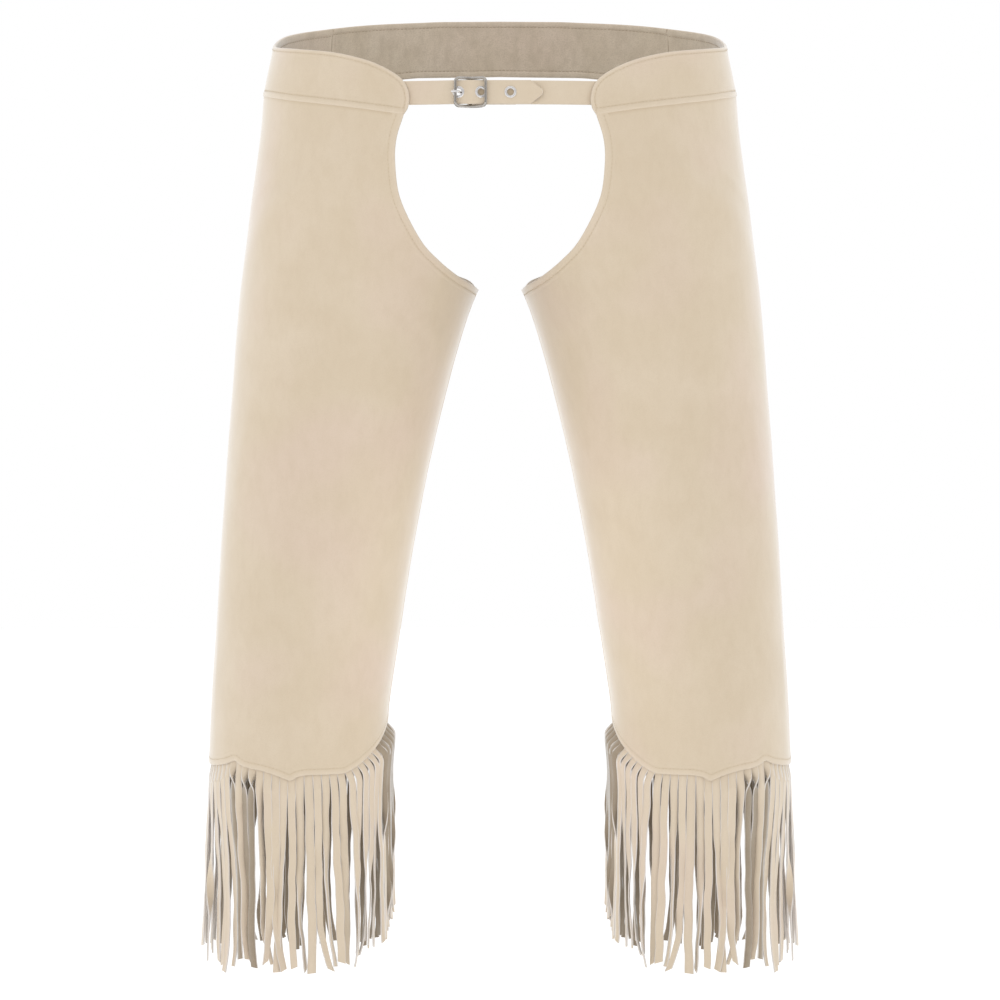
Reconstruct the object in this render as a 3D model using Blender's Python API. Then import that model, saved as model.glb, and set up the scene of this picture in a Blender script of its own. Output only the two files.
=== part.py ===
"""Knee-length suede chaps, hollow as they hang on a wearer: a back waistband, two hip yokes
joined in front by a buckled strap, and two open-seated legs with a scalloped, fringed hem.

Tables and sizes are in millimetres, and points become metres as they enter a mesh.
+Z is up and the front faces -Y. The origin is the centre of the waist ring. "left" and
"right" are the wearer's, so the left leg is at +X.

One surface, `cloth_point`, carries every sewn piece. It stacks horizontal superellipses:
round the whole hip at the waist, and round one leg below the crotch. A place on it is a
polar angle about the section's centre (0 at the outer side, 90 at the front, 180 at the
inseam, -90 at the back), a height, and how far it is moved out of the cloth's outer face.
"""

import math
import random

import bmesh
import bpy
from mathutils import Vector

MM = 0.001

# Wall thicknesses and gaps
LEG_WALL = 1.6
YOKE_WALL = 2.2
BAND_WALL = 2.4
STRAP_WALL = 1.6
SEAM_GAP = 0.3
HEM_RISE = 0.6  # how much thicker the turned edges and the yoke's lower fold are

# Yoke and waistband
BAND_SEAM_ANGLE = -33.0  # where the yoke joins the back waistband
YOKE_FOLD_HEIGHT = 4.2
PANEL_ROWS = 14
PANEL_DROP = 0.15  # keeps a leg panel's flat facets clear of the yoke's
NOSE_TOP = -16.3
NOSE_LOW = -48.0

# Fringe
FRINGE_LENGTH = 153.0
STRAND_WIDTH = 5.6
STRAND_THICKNESS = 1.3
STRAND_PITCH = 6.95
BACKING_HEIGHT = 7.0
BACKING_GAP = 0.9  # clear of the panel's flat facets, which cut inside its curve
STRAND_BENDS = (0.27, 0.53, 0.78, 1.0)  # shares of the length where a strand bends
ROOT_BEND = 0.075  # and the first bend, where it comes out flush with the cloth
INSEAM_BEND = 0.028  # the same at the steep inner corner of the hem
SPLAY = 6.0  # how far strands stand off the hem at that corner
HANG = 3.4  # and how far they still do below it
FLARE = 4.0  # how far the fringe spreads at its ends
SIDE_TRIM = 11.0  # how much shorter the strands are at the outer side
INSEAM_TRIM = 5.0  # and at the inner corner
PART_WIDTH = 14.0  # how far from a parting strands are still drawn aside

# Front strap and buckle
STRAP_HEIGHT = -31.3
STRAP_WIDTH = 18.3
TIP_SHOULDER = 23.5
TIP_END = 32.5
TIP_POINT = 1.8  # half width of the blunt point
BUCKLE_CENTRE = -22.5
BUCKLE_HALF_WIDTH = 11.6
BUCKLE_HALF_HEIGHT = 10.75
BUCKLE_CORNER = 3.2
FRAME_RADIUS = 1.2
BAR_RADIUS = 1.2
BAR_DEPTH = -2.0
FRAME_DEPTH = 4.2
FOLD_RADIUS = 2.3
PRONG_RADIUS = 0.8
PRONG_SLOT = (9.5, 3.4)
EYELET_PLACES = (-31.6, -14.5, 8.0)
EYELET_HOLE = 2.7
EYELET_BARREL = 3.1
EYELET_RIM = 4.2

SIDES = {"left": 1, "right": -1}

# Horizontal sections, from the top of the back waistband to below the hem
# columns: height, outer, centre, front, back, squareness
SECTIONS = (
    (62.0, 175.5, 0.0, 121.0, 125.0, 2.5),
    (20.0, 180.4, 0.0, 123.5, 126.0, 2.5),
    (-20.0, 188.0, 2.0, 123.5, 126.0, 2.5),
    (-48.0, 190.3, 16.0, 122.5, 126.0, 2.5),
    (-80.0, 194.5, 48.2, 120.0, 124.5, 2.4),
    (-110.0, 199.0, 80.2, 116.0, 121.0, 2.3),
    (-140.0, 202.5, 98.2, 111.0, 116.5, 2.25),
    (-174.4, 206.5, 112.0, 105.0, 110.0, 2.2),
    (-230.0, 211.7, 124.0, 97.0, 100.5, 2.15),
    (-302.0, 217.1, 135.6, 90.0, 92.0, 2.1),
    (-382.0, 222.5, 146.2, 84.5, 86.0, 2.1),
    (-462.0, 227.5, 155.1, 81.0, 82.0, 2.1),
    (-515.0, 230.7, 160.1, 80.0, 80.5, 2.1),
    (-566.0, 233.1, 161.6, 79.5, 79.5, 2.1),
)

# Soft folds in the legs: rounded ridges (rise above 0) and troughs
# columns: angle, height, half_length, half_width, slant, rise
FOLDS = (
    (48.0, -102.0, 62.0, 13.0, 40.0, 1.6),
    (66.0, -160.0, 70.0, 24.0, 24.0, -1.6),
    (112.0, -405.0, 75.0, 17.0, -30.0, 1.8),
    (60.0, -330.0, 110.0, 22.0, 12.0, -1.8),
    (100.0, -480.0, 60.0, 20.0, -20.0, -1.5),
    (-62.0, -128.0, 70.0, 16.0, -35.0, 2.0),
    (-100.0, -250.0, 80.0, 20.0, 30.0, -2.2),
    (-70.0, -345.0, 60.0, 16.0, 62.0, 2.2),
    (-104.0, -395.0, 60.0, 16.0, -58.0, 2.0),
    (-80.0, -470.0, 70.0, 20.0, 15.0, -1.8),
)

# Edges round the hip: heights against the bearing from the origin, front to back
# columns: bearing, height
TOP_EDGE = (
    (55.3, -16.3),
    (52.3, -11.5),
    (46.5, -4.7),
    (37.2, 2.3),
    (26.8, 7.2),
    (12.6, 14.3),
    (0.0, 22.8),
    (-7.9, 29.6),
    (-15.3, 35.8),
    (-26.7, 43.6),
    (-41.6, 51.7),
    (-50.0, 54.5),
    (-58.9, 56.3),
    (-70.0, 57.8),
    (-90.0, 58.3),
)
LOWER_EDGE = (
    (57.2, -48.0),
    (37.7, -38.8),
    (27.3, -33.5),
    (14.0, -26.0),
    (0.0, -20.0),
    (-15.0, -13.0),
    (-30.0, -5.0),
    (-42.0, 2.0),
    (-51.5, 7.6),
    (-62.0, 10.8),
    (-90.0, 12.2),
)

# The rounded front end of a yoke: place across against the share of the way down
# columns: share, across
NOSE = ((0.0, 81.0), (0.17, 74.8), (0.42, 70.6), (0.64, 69.6), (0.83, 70.6), (1.0, 73.8))

# Cut-out edges, from the waist down to the crotch
# columns: across, height
FRONT_CUT = (
    (73.8, -48.0),
    (79.2, -66.0),
    (80.3, -86.0),
    (76.2, -112.7),
    (61.0, -142.8),
    (46.7, -158.0),
    (32.2, -168.4),
    (20.6, -173.4),
    (17.6, -174.4),
)
SEAT_CUT = (
    (93.0, 7.1),
    (96.5, -29.0),
    (97.0, -59.0),
    (91.0, -92.0),
    (72.0, -125.0),
    (55.0, -143.0),
    (36.0, -157.0),
    (24.0, -164.0),
    (17.6, -173.6),
)

# The scalloped hem, outer side to inseam. The front half is as the back half. A corner
# is a cusp, where the curve on each side has its own slope.
# columns: angle, height, corner
HEM = (
    (0.0, -550.6, False),
    (24.0, -551.6, False),
    (43.6, -549.2, False),
    (53.3, -545.5, True),
    (60.6, -550.0, False),
    (71.8, -552.6, False),
    (80.0, -555.6, False),
    (89.0, -560.5, True),
    (93.6, -557.0, False),
    (99.7, -555.8, False),
    (119.1, -555.6, False),
    (128.4, -551.5, False),
    (139.4, -544.0, False),
    (154.5, -533.5, False),
    (167.3, -524.5, False),
    (180.0, -517.5, False),
)

# Partings, where strands are drawn aside: place across on the front and on the back
# fringe, share of the length where it opens, how far each side moves
# columns: front, back, opens, aside
PARTINGS = (
    (185.6, 198.0, 0.10, 2.0),
    (150.5, 160.0, 0.62, 2.2),
    (128.9, 137.0, 0.42, 2.6),
    (114.0, 121.2, 0.78, 2.4),
)

# Middle of the tip strap's thickness, from its sewn end to its tip: place along the
# front, and distance out of the waist ring
# columns: across, depth
TIP_STRAP_PATH = (
    (-92.0, -1.15),
    (-70.0, -1.15),
    (-52.0, -0.9),
    (-41.0, -0.1),
    (-33.9, 0.6),
    (-27.5, 1.5),
    (-22.5, 2.25),
    (-17.5, 1.5),
    (-11.0, 0.8),
    (0.0, 0.8),
    (12.0, 0.8),
    (23.5, 1.0),
    (32.5, 1.5),
)
# Middle of the buckle strap's thickness, from its sewn end to the fold and back
# columns: across, depth
BUCKLE_STRAP_PATH = (
    (92.0, -1.15),
    (70.0, -1.15),
    (40.0, -1.15),
    (10.0, -1.15),
    (-11.0, -1.15),
    (-17.0, -0.45),
)
BUCKLE_STRAP_RETURN = ((-17.0, -3.9), (-10.0, -3.1), (2.0, -3.05), (12.0, -3.05))
# Middle of the prong, from the ring on the bar, through the eyelet, over the frame
# columns: across, depth
PRONG_PATH = (
    (-24.6, -2.2),
    (-27.4, -2.2),
    (-29.6, -1.7),
    (-30.7, -0.3),
    (-31.1, 1.8),
    (-31.2, 4.1),
    (-32.3, 6.0),
    (-34.4, 6.5),
    (-37.2, 5.8),
)


# ---------------------------------------------------------------- curves from tables


def slope_at(xs, ys, i, corners):
    """Slope of a curve through a table at row i, one-sided at its ends and corners."""
    def chord(j):
        return (ys[j + 1] - ys[j]) / (xs[j + 1] - xs[j])

    if i == 0 or i == len(xs) - 1 or corners[i]:
        return None
    before, after = chord(i - 1), chord(i)
    if before * after <= 0:
        return 0.0
    return 2 * before * after / (before + after)


def read_curve(table, x, column=1, corner_column=None):
    """The value in `column` at x, on a smooth curve through the table's rows."""
    rows = sorted(table)
    xs = [row[0] for row in rows]
    ys = [row[column] for row in rows]
    corners = [bool(corner_column and row[corner_column]) for row in rows]
    x = min(max(x, xs[0]), xs[-1])
    i = max(j for j in range(len(xs) - 1) if xs[j] <= x)
    step = xs[i + 1] - xs[i]
    t = (x - xs[i]) / step
    chord = (ys[i + 1] - ys[i]) / step
    first = slope_at(xs, ys, i, corners)
    last = slope_at(xs, ys, i + 1, corners)
    first = chord if first is None else first
    last = chord if last is None else last
    return (
        (2 * t**3 - 3 * t**2 + 1) * ys[i]
        + (t**3 - 2 * t**2 + t) * step * first
        + (3 * t**2 - 2 * t**3) * ys[i + 1]
        + (t**3 - t**2) * step * last
    )


def smooth_step(t):
    t = min(max(t, 0.0), 1.0)
    return t * t * (3 - 2 * t)


def spaced(start, end, count):
    return [start + (end - start) * i / count for i in range(count + 1)]


def route(points, steps):
    """Points on a Catmull-Rom curve through the given ones, `steps` to each span."""
    pts = [Vector(p) for p in points]
    pts = [pts[0] * 2 - pts[1]] + pts + [pts[-1] * 2 - pts[-2]]
    out = []
    for a, b, c, d in zip(pts, pts[1:], pts[2:], pts[3:]):
        for k in range(steps):
            t = k / steps
            out.append(
                0.5 * (2 * b + (c - a) * t + (2 * a - 5 * b + 4 * c - d) * t**2
                       + (3 * b - a - 3 * c + d) * t**3)
            )
    return out + [pts[-2]]


# ---------------------------------------------------------------- the cloth's surface


def section(height):
    """Outer reach, centre, front depth, back depth and squareness at a height."""
    return [read_curve(SECTIONS, height, k) for k in range(1, len(SECTIONS[0]))]


def fold_rise(angle, height):
    """How far the soft folds push the cloth out at this place."""
    rise = 0.0
    for at_angle, at_height, half_length, half_width, slant, peak in FOLDS:
        if angle * at_angle < 0:
            continue
        across = math.radians(angle - at_angle) * 90.0
        up = height - at_height
        turn = math.radians(slant)
        along = up * math.cos(turn) + across * math.sin(turn)
        aside = across * math.cos(turn) - up * math.sin(turn)
        rise += peak * math.exp(-((along / half_length) ** 2) * 1.5 - (aside / half_width) ** 2)
    ends = smooth_step(abs(angle) / 20) * smooth_step((180 - abs(angle)) / 25)
    return rise * ends * smooth_step((-50 - height) / 40)


def bare_point(side, angle, height):
    outer, centre, front, back, squareness = section(height)
    reach = outer - centre
    depth = front if angle >= 0 else back
    turn = math.radians(angle)
    cos, sin = math.cos(turn), math.sin(turn)
    radius = (abs(cos / reach) ** squareness + abs(sin / depth) ** squareness) ** (-1 / squareness)
    radius += fold_rise(angle, height)
    return Vector((side * (centre + radius * cos), -radius * sin, height))


def outward(side, angle, height):
    """Unit normal, away from the wearer."""
    turn, rise = 0.4, 1.0
    round_it = bare_point(side, angle + turn, height) - bare_point(side, angle - turn, height)
    up_it = bare_point(side, angle, height + rise) - bare_point(side, angle, height - rise)
    normal = round_it.cross(up_it) * -side
    return normal.normalized()


def cloth_point(side, angle, height, out=0.0):
    return bare_point(side, angle, height) + outward(side, angle, height) * out


def angle_at(across, height, front):
    """Polar angle of the place at this height that lies `across` from the middle plane."""
    outer, centre, front_depth, back_depth, squareness = section(height)
    share = (across - centre) / (outer - centre)
    share = min(max(share, -1.0), 1.0)
    depth = (front_depth if front else back_depth)
    y = depth * max(1 - abs(share) ** squareness, 0.0) ** (1 / squareness)
    angle = math.degrees(math.atan2(y, across - centre))
    return angle if front else -angle


def edge_height(table, angle):
    """Height of a hip edge at a polar angle. The bearing depends on the height."""
    height = 0.0
    for _ in range(5):
        point = bare_point(1, angle, height)
        height = read_curve(table, math.degrees(math.atan2(-point.y, point.x)))
    return height


def hem_height(angle):
    return read_curve(HEM, abs(angle), 1, 2)


# ---------------------------------------------------------------- meshes


def material(name, colour, roughness, metallic=0.0):
    made = bpy.data.materials.new(name)
    made.use_nodes = True
    shader = made.node_tree.nodes["Principled BSDF"]
    shader.inputs["Base Color"].default_value = (*colour, 1)
    shader.inputs["Roughness"].default_value = roughness
    shader.inputs["Metallic"].default_value = metallic
    made.diffuse_color = (*colour, 1)
    return made


def add_object(name, bm, colour_name):
    bmesh.ops.recalc_face_normals(bm, faces=bm.faces)
    mesh = bpy.data.meshes.new(name)
    bm.to_mesh(mesh)
    bm.free()
    mesh.shade_smooth()
    mesh.set_sharp_from_angle(angle=math.radians(40))
    mesh.materials.append(MATERIALS[colour_name])
    made = bpy.data.objects.new(name, mesh)
    bpy.context.scene.collection.objects.link(made)
    return made


def add_wall(name, inner, outer, colour_name):
    """A closed wall between two grids of points of the same size."""
    bm = bmesh.new()
    grids = [[[bm.verts.new(p * MM) for p in row] for row in grid] for grid in (inner, outer)]
    rows, columns = len(inner), len(inner[0])
    for grid in grids:
        for i in range(rows - 1):
            for j in range(columns - 1):
                bm.faces.new((grid[i][j], grid[i][j + 1], grid[i + 1][j + 1], grid[i + 1][j]))
    rim = [(0, j) for j in range(columns)]
    rim += [(i, columns - 1) for i in range(1, rows)]
    rim += [(rows - 1, j) for j in range(columns - 2, -1, -1)]
    rim += [(i, 0) for i in range(rows - 2, 0, -1)]
    for (i, j), (k, m) in zip(rim, rim[1:] + rim[:1]):
        bm.faces.new((grids[0][i][j], grids[0][k][m], grids[1][k][m], grids[1][i][j]))
    return add_object(name, bm, colour_name)


def add_tube(name, centres, radii, sides, colour_name, closed=False):
    """A round tube along a route, its ring planes kept square to the route."""
    bm = bmesh.new()
    count = len(centres)
    rings = []
    across = None
    for i, centre in enumerate(centres):
        if closed:
            along = centres[(i + 1) % count] - centres[i - 1]
        else:
            along = centres[min(i + 1, count - 1)] - centres[max(i - 1, 0)]
        along.normalize()
        if across is None:
            across = along.orthogonal()
        across = (across - along * across.dot(along)).normalized()
        other = along.cross(across)
        ring = []
        for k in range(sides):
            turn = 2 * math.pi * k / sides
            offset = across * math.cos(turn) + other * math.sin(turn)
            ring.append(bm.verts.new((centre + offset * radii[i]) * MM))
        rings.append(ring)
    pairs = list(zip(rings, rings[1:]))
    if closed:
        first = rings[0]
        last = rings[-1]
        shift = min(range(sides), key=lambda s: (first[s].co - last[0].co).length)
        pairs.append((last, first[shift:] + first[:shift]))
    else:
        bm.faces.new(rings[0])
        bm.faces.new(rings[-1])
    for one, two in pairs:
        for k in range(sides):
            m = (k + 1) % sides
            bm.faces.new((one[k], one[m], two[m], two[k]))
    return add_object(name, bm, colour_name)


def join_solids(target, others, operation="UNION"):
    """Applies a Boolean with each helper in turn, then removes the helpers."""
    for other in others:
        cut = target.modifiers.new(operation.title(), "BOOLEAN")
        cut.operation = operation
        cut.solver = "EXACT"
        cut.object = other
    bpy.context.view_layer.update()
    graph = bpy.context.evaluated_depsgraph_get()
    result = bpy.data.meshes.new_from_object(target.evaluated_get(graph))
    target.modifiers.clear()
    old = target.data
    target.data = result
    bpy.data.meshes.remove(old)
    for other in others:
        bpy.data.objects.remove(other)


# ---------------------------------------------------------------- leg panels


def cut_curve(front):
    """A cut-out edge as (polar angle, height) pairs, from the waist to the crotch."""
    table = FRONT_CUT if front else SEAT_CUT
    curve = route([(across, height, 0) for across, height in table], 6)
    return [(abs(angle_at(p.x, p.y, front)), p.y) for p in curve]


def panel_top(front, angle, cut):
    """Height of a leg panel's upper edge: the hip seam, and past its corner the cut-out."""
    if abs(angle) <= cut[0][0]:
        return edge_height(LOWER_EDGE, angle) - SEAM_GAP / 2 - PANEL_DROP
    for (start, high), (end, low) in zip(cut, cut[1:]):
        if abs(angle) <= end:
            return high + (low - high) * (abs(angle) - start) / (end - start)
    return cut[-1][1]


def panel_angles(front, corner):
    """Polar angles of a panel's columns, with one at each corner of its edges."""
    cusp, point = (row[0] for row in HEM if row[2])
    seam_turn = 0.1  # half a seam gap at the outseam and the inseam, in degrees
    near, far = sorted((cusp, corner))
    spans = [(seam_turn, near, 5), (near, far, 1), (far, point, 3 if front else 4)]
    spans += [(point, 180 - seam_turn, 8)]
    angles = [seam_turn]
    for start, end, count in spans:
        angles += spaced(start, end, count)[1:]
    return angles if front else [-a for a in angles]


def leg_panel(side_name, front):
    """Half of a leg, its columns running from the hip seam or cut-out down to the hem."""
    side = SIDES[side_name]
    cut = cut_curve(front)
    inner, outer = [], []
    for angle in panel_angles(front, cut[0][0]):
        top = panel_top(front, angle, cut)
        heights = spaced(top, hem_height(angle), PANEL_ROWS)
        inner.append([cloth_point(side, angle, z, -LEG_WALL) for z in heights])
        outer.append([cloth_point(side, angle, z) for z in heights])
    name = f"leg_{'front' if front else 'back'}_{side_name}"
    add_wall(name, inner, outer, "suede")


# ---------------------------------------------------------------- yokes and waistband


def yoke(side_name):
    """One hip yoke. Its lowest stretch is a turned fold, thicker than the rest."""
    side = SIDES[side_name]
    columns = 24
    seam_turn = 0.1
    nose_height = NOSE_TOP - NOSE_LOW
    fold_top = YOKE_FOLD_HEIGHT + 0.7
    levels = [(share, None, 0) for share in (0.0, 0.17, 0.42, 0.64)]
    levels += [(None, fold_top, 0), (None, YOKE_FOLD_HEIGHT, HEM_RISE), (1.0, None, HEM_RISE)]
    inner, outer = [], []
    for share, above, rise in levels:
        inner_row, outer_row = [], []
        down = 1 - above / nose_height if share is None else share
        end = angle_at(read_curve(NOSE, down), NOSE_TOP - nose_height * down, True)
        for j in range(columns + 1):
            angle = end + (BAND_SEAM_ANGLE + seam_turn - end) * j / columns
            low = edge_height(LOWER_EDGE, angle) + SEAM_GAP / 2
            if share is None:
                height = low + above
            else:
                top = edge_height(TOP_EDGE, angle)
                height = top + (low - top) * down
            inner_row.append(cloth_point(side, angle, height, -YOKE_WALL))
            outer_row.append(cloth_point(side, angle, height, rise))
        inner.append(inner_row)
        outer.append(outer_row)
    add_wall(f"yoke_{side_name}", inner, outer, "suede")


def back_waistband():
    """One band across the small of the back, from yoke to yoke."""
    seam_turn = 0.1
    half = spaced(BAND_SEAM_ANGLE - seam_turn, -90, 10)
    places = [(1, a) for a in half] + [(-1, a) for a in reversed(half[:-1])]
    inner, outer = [], []
    for share in (0.0, 0.33, 0.67, 1.0):
        inner_row, outer_row = [], []
        for side, angle in places:
            top = edge_height(TOP_EDGE, angle)
            low = edge_height(LOWER_EDGE, angle) + SEAM_GAP / 2
            height = top + (low - top) * share
            inner_row.append(cloth_point(side, angle, height, -BAND_WALL))
            outer_row.append(cloth_point(side, angle, height))
        inner.append(inner_row)
        outer.append(outer_row)
    add_wall("back_waistband", inner, outer, "suede")


# ---------------------------------------------------------------- fringe


def hem_route(front):
    """Length along the hem against the polar angle, from the inseam to the outseam."""
    sign = 1 if front else -1
    angles = [sign * a for a in spaced(179.6, 0.4, 360)]
    length = [0.0]
    before = None
    for angle in angles:
        point = cloth_point(1, angle, hem_height(angle))
        if before is not None:
            length.append(length[-1] + (point - before).length)
        before = point
    return angles, length


def angle_along(angles, length, at):
    at = min(max(at, 0.0), length[-1])
    i = max(j for j in range(len(length) - 1) if length[j] <= at)
    share = (at - length[i]) / (length[i + 1] - length[i])
    return angles[i] + (angles[i + 1] - angles[i]) * share


def strand_habits(count, seed):
    """How each strand hangs: its lean out, its sway along the hem, its twist and trim."""
    draw = random.Random(seed)
    leans = (0.0, 3.2, -3.0, 1.6, -1.4)
    twists = (0, 14, -32, 0, -12, 30, 10, 0, -18, 0, 33, 0)
    habits = []
    for i in range(count):
        habits.append(
            {
                "lean": leans[i % len(leans)],
                "sway": draw.uniform(-0.3, 0.3),
                "twist": math.radians(twists[i * 5 % len(twists)]),
                "trim": draw.uniform(-3.0, 3.0),
            }
        )
    return habits


def parted(across, front, share):
    """How far partings draw a strand sideways, away from the wearer's middle plane."""
    shift = 0.0
    for front_place, back_place, opens, aside in PARTINGS:
        off = across - (front_place if front else back_place)
        near = max(0.0, 1 - abs(off) / PART_WIDTH)
        shift += math.copysign(aside * near, off) * smooth_step((share - opens) / 0.35)
    return shift


def fringe(side_name, front, seed):
    """A narrow backing strip behind the hem with its strands hanging from its lower edge."""
    side = SIDES[side_name]
    angles, length = hem_route(front)
    count = int(length[-1] / STRAND_PITCH)
    pitch = length[-1] / count
    outer_face = -LEG_WALL - BACKING_GAP
    inner_face = outer_face - STRAND_THICKNESS
    bm = bmesh.new()
    sections = []
    for i in range(count):
        for place in (i * pitch + (pitch - STRAND_WIDTH) / 2, i * pitch + (pitch + STRAND_WIDTH) / 2):
            angle = angle_along(angles, length, place)
            low = hem_height(angle) - 0.4
            high = low + BACKING_HEIGHT
            corners = ((high, outer_face), (low, outer_face), (low, inner_face), (high, inner_face))
            points = [cloth_point(side, angle, z, out) for z, out in corners]
            sections.append((angle, [bm.verts.new(p * MM) for p in points]))
    for k, ((_, one), (_, two)) in enumerate(zip(sections, sections[1:])):
        for a, b in ((0, 1), (2, 3), (3, 0)):
            bm.faces.new((one[a], one[b], two[b], two[a]))
        if k % 2:
            bm.faces.new((one[1], one[2], two[2], two[1]))
    bm.faces.new(sections[0][1])
    bm.faces.new(sections[-1][1])
    for i, habit in enumerate(strand_habits(count, seed)):
        (first_angle, first), (last_angle, last) = sections[2 * i], sections[2 * i + 1]
        strand(bm, side, (first_angle + last_angle) / 2, first, last, habit)
    add_object(f"fringe_{'front' if front else 'back'}_{side_name}", bm, "suede_inside")


def strand(bm, side, angle, first, last, habit):
    """Extrudes one strand down from the backing's lower face between two sections."""
    root = (first[1].co + last[1].co + first[2].co + last[2].co) / 4 / MM
    out = outward(side, angle, hem_height(angle))
    out.z = 0
    out.normalize()
    along = (last[1].co - first[1].co) / MM
    along.z = 0
    half_width = along.length / 2
    along.normalize()
    front = angle > 0
    inward = smooth_step((abs(angle) - 115) / 45)
    flush = LEG_WALL + BACKING_GAP
    long = FRINGE_LENGTH + habit["trim"] - INSEAM_TRIM * smooth_step((abs(angle) - 140) / 35)
    long -= SIDE_TRIM * smooth_step(1 - abs(angle) / 50)
    ring = [first[1], last[1], last[2], first[2]]
    for t in (ROOT_BEND + (INSEAM_BEND - ROOT_BEND) * inward, *STRAND_BENDS):
        stand = SPLAY + (HANG - SPLAY) * smooth_step(t / STRAND_BENDS[0])
        lean = flush + stand * inward
        lean += habit["lean"] * (1 - 0.5 * inward) * t**1.5 + FLARE * (1 - inward) * t**2.5
        centre = root + out * lean + along * habit["sway"] * t**2
        centre.x += side * parted(abs(root.x), front, t)
        centre.z = root.z - long * t
        twist = habit["twist"] * smooth_step((t - 0.1) / 0.7)
        wide = (along * math.cos(twist) + out * math.sin(twist)) * half_width
        thick = (out * math.cos(twist) - along * math.sin(twist)) * STRAND_THICKNESS / 2
        corners = (thick - wide, thick + wide, wide - thick, -wide - thick)
        new_ring = [bm.verts.new((centre + c) * MM) for c in corners]
        for k in range(4):
            m = (k + 1) % 4
            bm.faces.new((ring[k], ring[m], new_ring[m], new_ring[k]))
        ring = new_ring
    bm.faces.new(ring)


# ---------------------------------------------------------------- strap, buckle, eyelets


def front_depth(across):
    """How far in front of the origin the yokes' inner face runs at the strap's height."""
    outer, _, front, _, squareness = section(STRAP_HEIGHT)
    return front * (1 - abs(across / outer) ** squareness) ** (1 / squareness) - YOKE_WALL


def strap_point(across, depth, up=0.0):
    return Vector((across, -front_depth(across) - depth, STRAP_HEIGHT + up))


def add_strap(name, path, half_widths):
    """A strap along (across, depth) points, with its own half width at each of them."""
    inner, outer = [], []
    for i, point in enumerate(path):
        before, after = path[max(i - 1, 0)], path[min(i + 1, len(path) - 1)]
        along = Vector((after.x - before.x, after.y - before.y, 0)).normalized()
        aside = Vector((-along.y, along.x, 0)) * STRAP_WALL / 2
        for grid, edge in ((inner, point - aside), (outer, point + aside)):
            grid.append([strap_point(edge.x, edge.y, up * half_widths[i]) for up in (-1, 0, 1)])
    return add_wall(name, inner, outer, "suede")


def depth_on_tip_strap(across):
    path = route([(x, y, 0) for x, y in TIP_STRAP_PATH], 6)
    i = max(j for j in range(len(path) - 1) if path[j].x <= across)
    share = (across - path[i].x) / (path[i + 1].x - path[i].x)
    point = path[i].lerp(path[i + 1], share)
    slope = (path[i + 1].y - path[i].y) / (path[i + 1].x - path[i].x)
    return point.y, slope


def turned_ring(name, across, depth, slope, profile, sides, colour_name):
    """A ring turned about the strap's own normal. The profile is (radius, height) pairs."""
    tilt = math.atan(slope)
    bm = bmesh.new()
    rings = []
    for k in range(sides):
        turn = 2 * math.pi * k / sides
        ring = []
        for radius, height in profile:
            x = across + radius * math.cos(turn) * math.cos(tilt) - height * math.sin(tilt)
            d = depth + radius * math.cos(turn) * math.sin(tilt) + height * math.cos(tilt)
            point = Vector((x, -front_depth(across) - d, STRAP_HEIGHT + radius * math.sin(turn)))
            ring.append(bm.verts.new(point * MM))
        rings.append(ring)
    for one, two in zip(rings, rings[1:] + rings[:1]):
        for k in range(len(profile)):
            m = (k + 1) % len(profile)
            bm.faces.new((one[k], one[m], two[m], two[k]))
    return add_object(name, bm, colour_name)


def plug(name, across, depth, slope, radius, half_height, sides=14):
    """A short cylinder along the strap's normal, used as a cutter."""
    bm = bmesh.new()
    tilt = math.atan(slope)
    rings = []
    for height in (-half_height, half_height):
        ring = []
        for k in range(sides):
            turn = 2 * math.pi * (k + 0.5) / sides
            x = across + radius * math.cos(turn) * math.cos(tilt) - height * math.sin(tilt)
            d = depth + radius * math.cos(turn) * math.sin(tilt) + height * math.cos(tilt)
            point = Vector((x, -front_depth(across) - d, STRAP_HEIGHT + radius * math.sin(turn)))
            ring.append(bm.verts.new(point * MM))
        rings.append(ring)
    bm.faces.new(rings[0])
    bm.faces.new(rings[1])
    for k in range(sides):
        m = (k + 1) % sides
        bm.faces.new((rings[0][k], rings[0][m], rings[1][m], rings[1][k]))
    return add_object(name, bm, "metal")


def tip_strap():
    """The strap with the pointed tip, pierced for its eyelets."""
    path = route([(x, y, 0) for x, y in TIP_STRAP_PATH], 2)
    half = STRAP_WIDTH / 2
    widths = []
    for point in path:
        past = max(0.0, (point.x - TIP_SHOULDER) / (TIP_END - TIP_SHOULDER))
        widths.append(half - (half - TIP_POINT) * past)
    strap = add_strap("strap_tip", path, widths)
    holes = []
    for i, across in enumerate(EYELET_PLACES):
        depth, slope = depth_on_tip_strap(across)
        holes.append(plug(f"hole_{i}", across, depth, slope, EYELET_BARREL + SEAM_GAP, 4.0))
    join_solids(strap, holes, "DIFFERENCE")


def eyelets():
    """Pressed eyelets: a flange on the strap's face and a barrel through it."""
    back = -STRAP_WALL / 2
    face = STRAP_WALL / 2 + SEAM_GAP
    flange = 0.55
    profile = (
        (EYELET_HOLE, face + flange * 0.6),
        (EYELET_HOLE + 0.7, face + flange),
        (EYELET_RIM - 0.6, face + flange * 0.8),
        (EYELET_RIM, face),
        (EYELET_BARREL, face),
        (EYELET_BARREL, back),
        (EYELET_HOLE, back),
    )
    for i, across in enumerate(EYELET_PLACES):
        depth, slope = depth_on_tip_strap(across)
        turned_ring(f"eyelet_{i + 1}", across, depth, slope, profile, 16, "metal")


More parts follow.
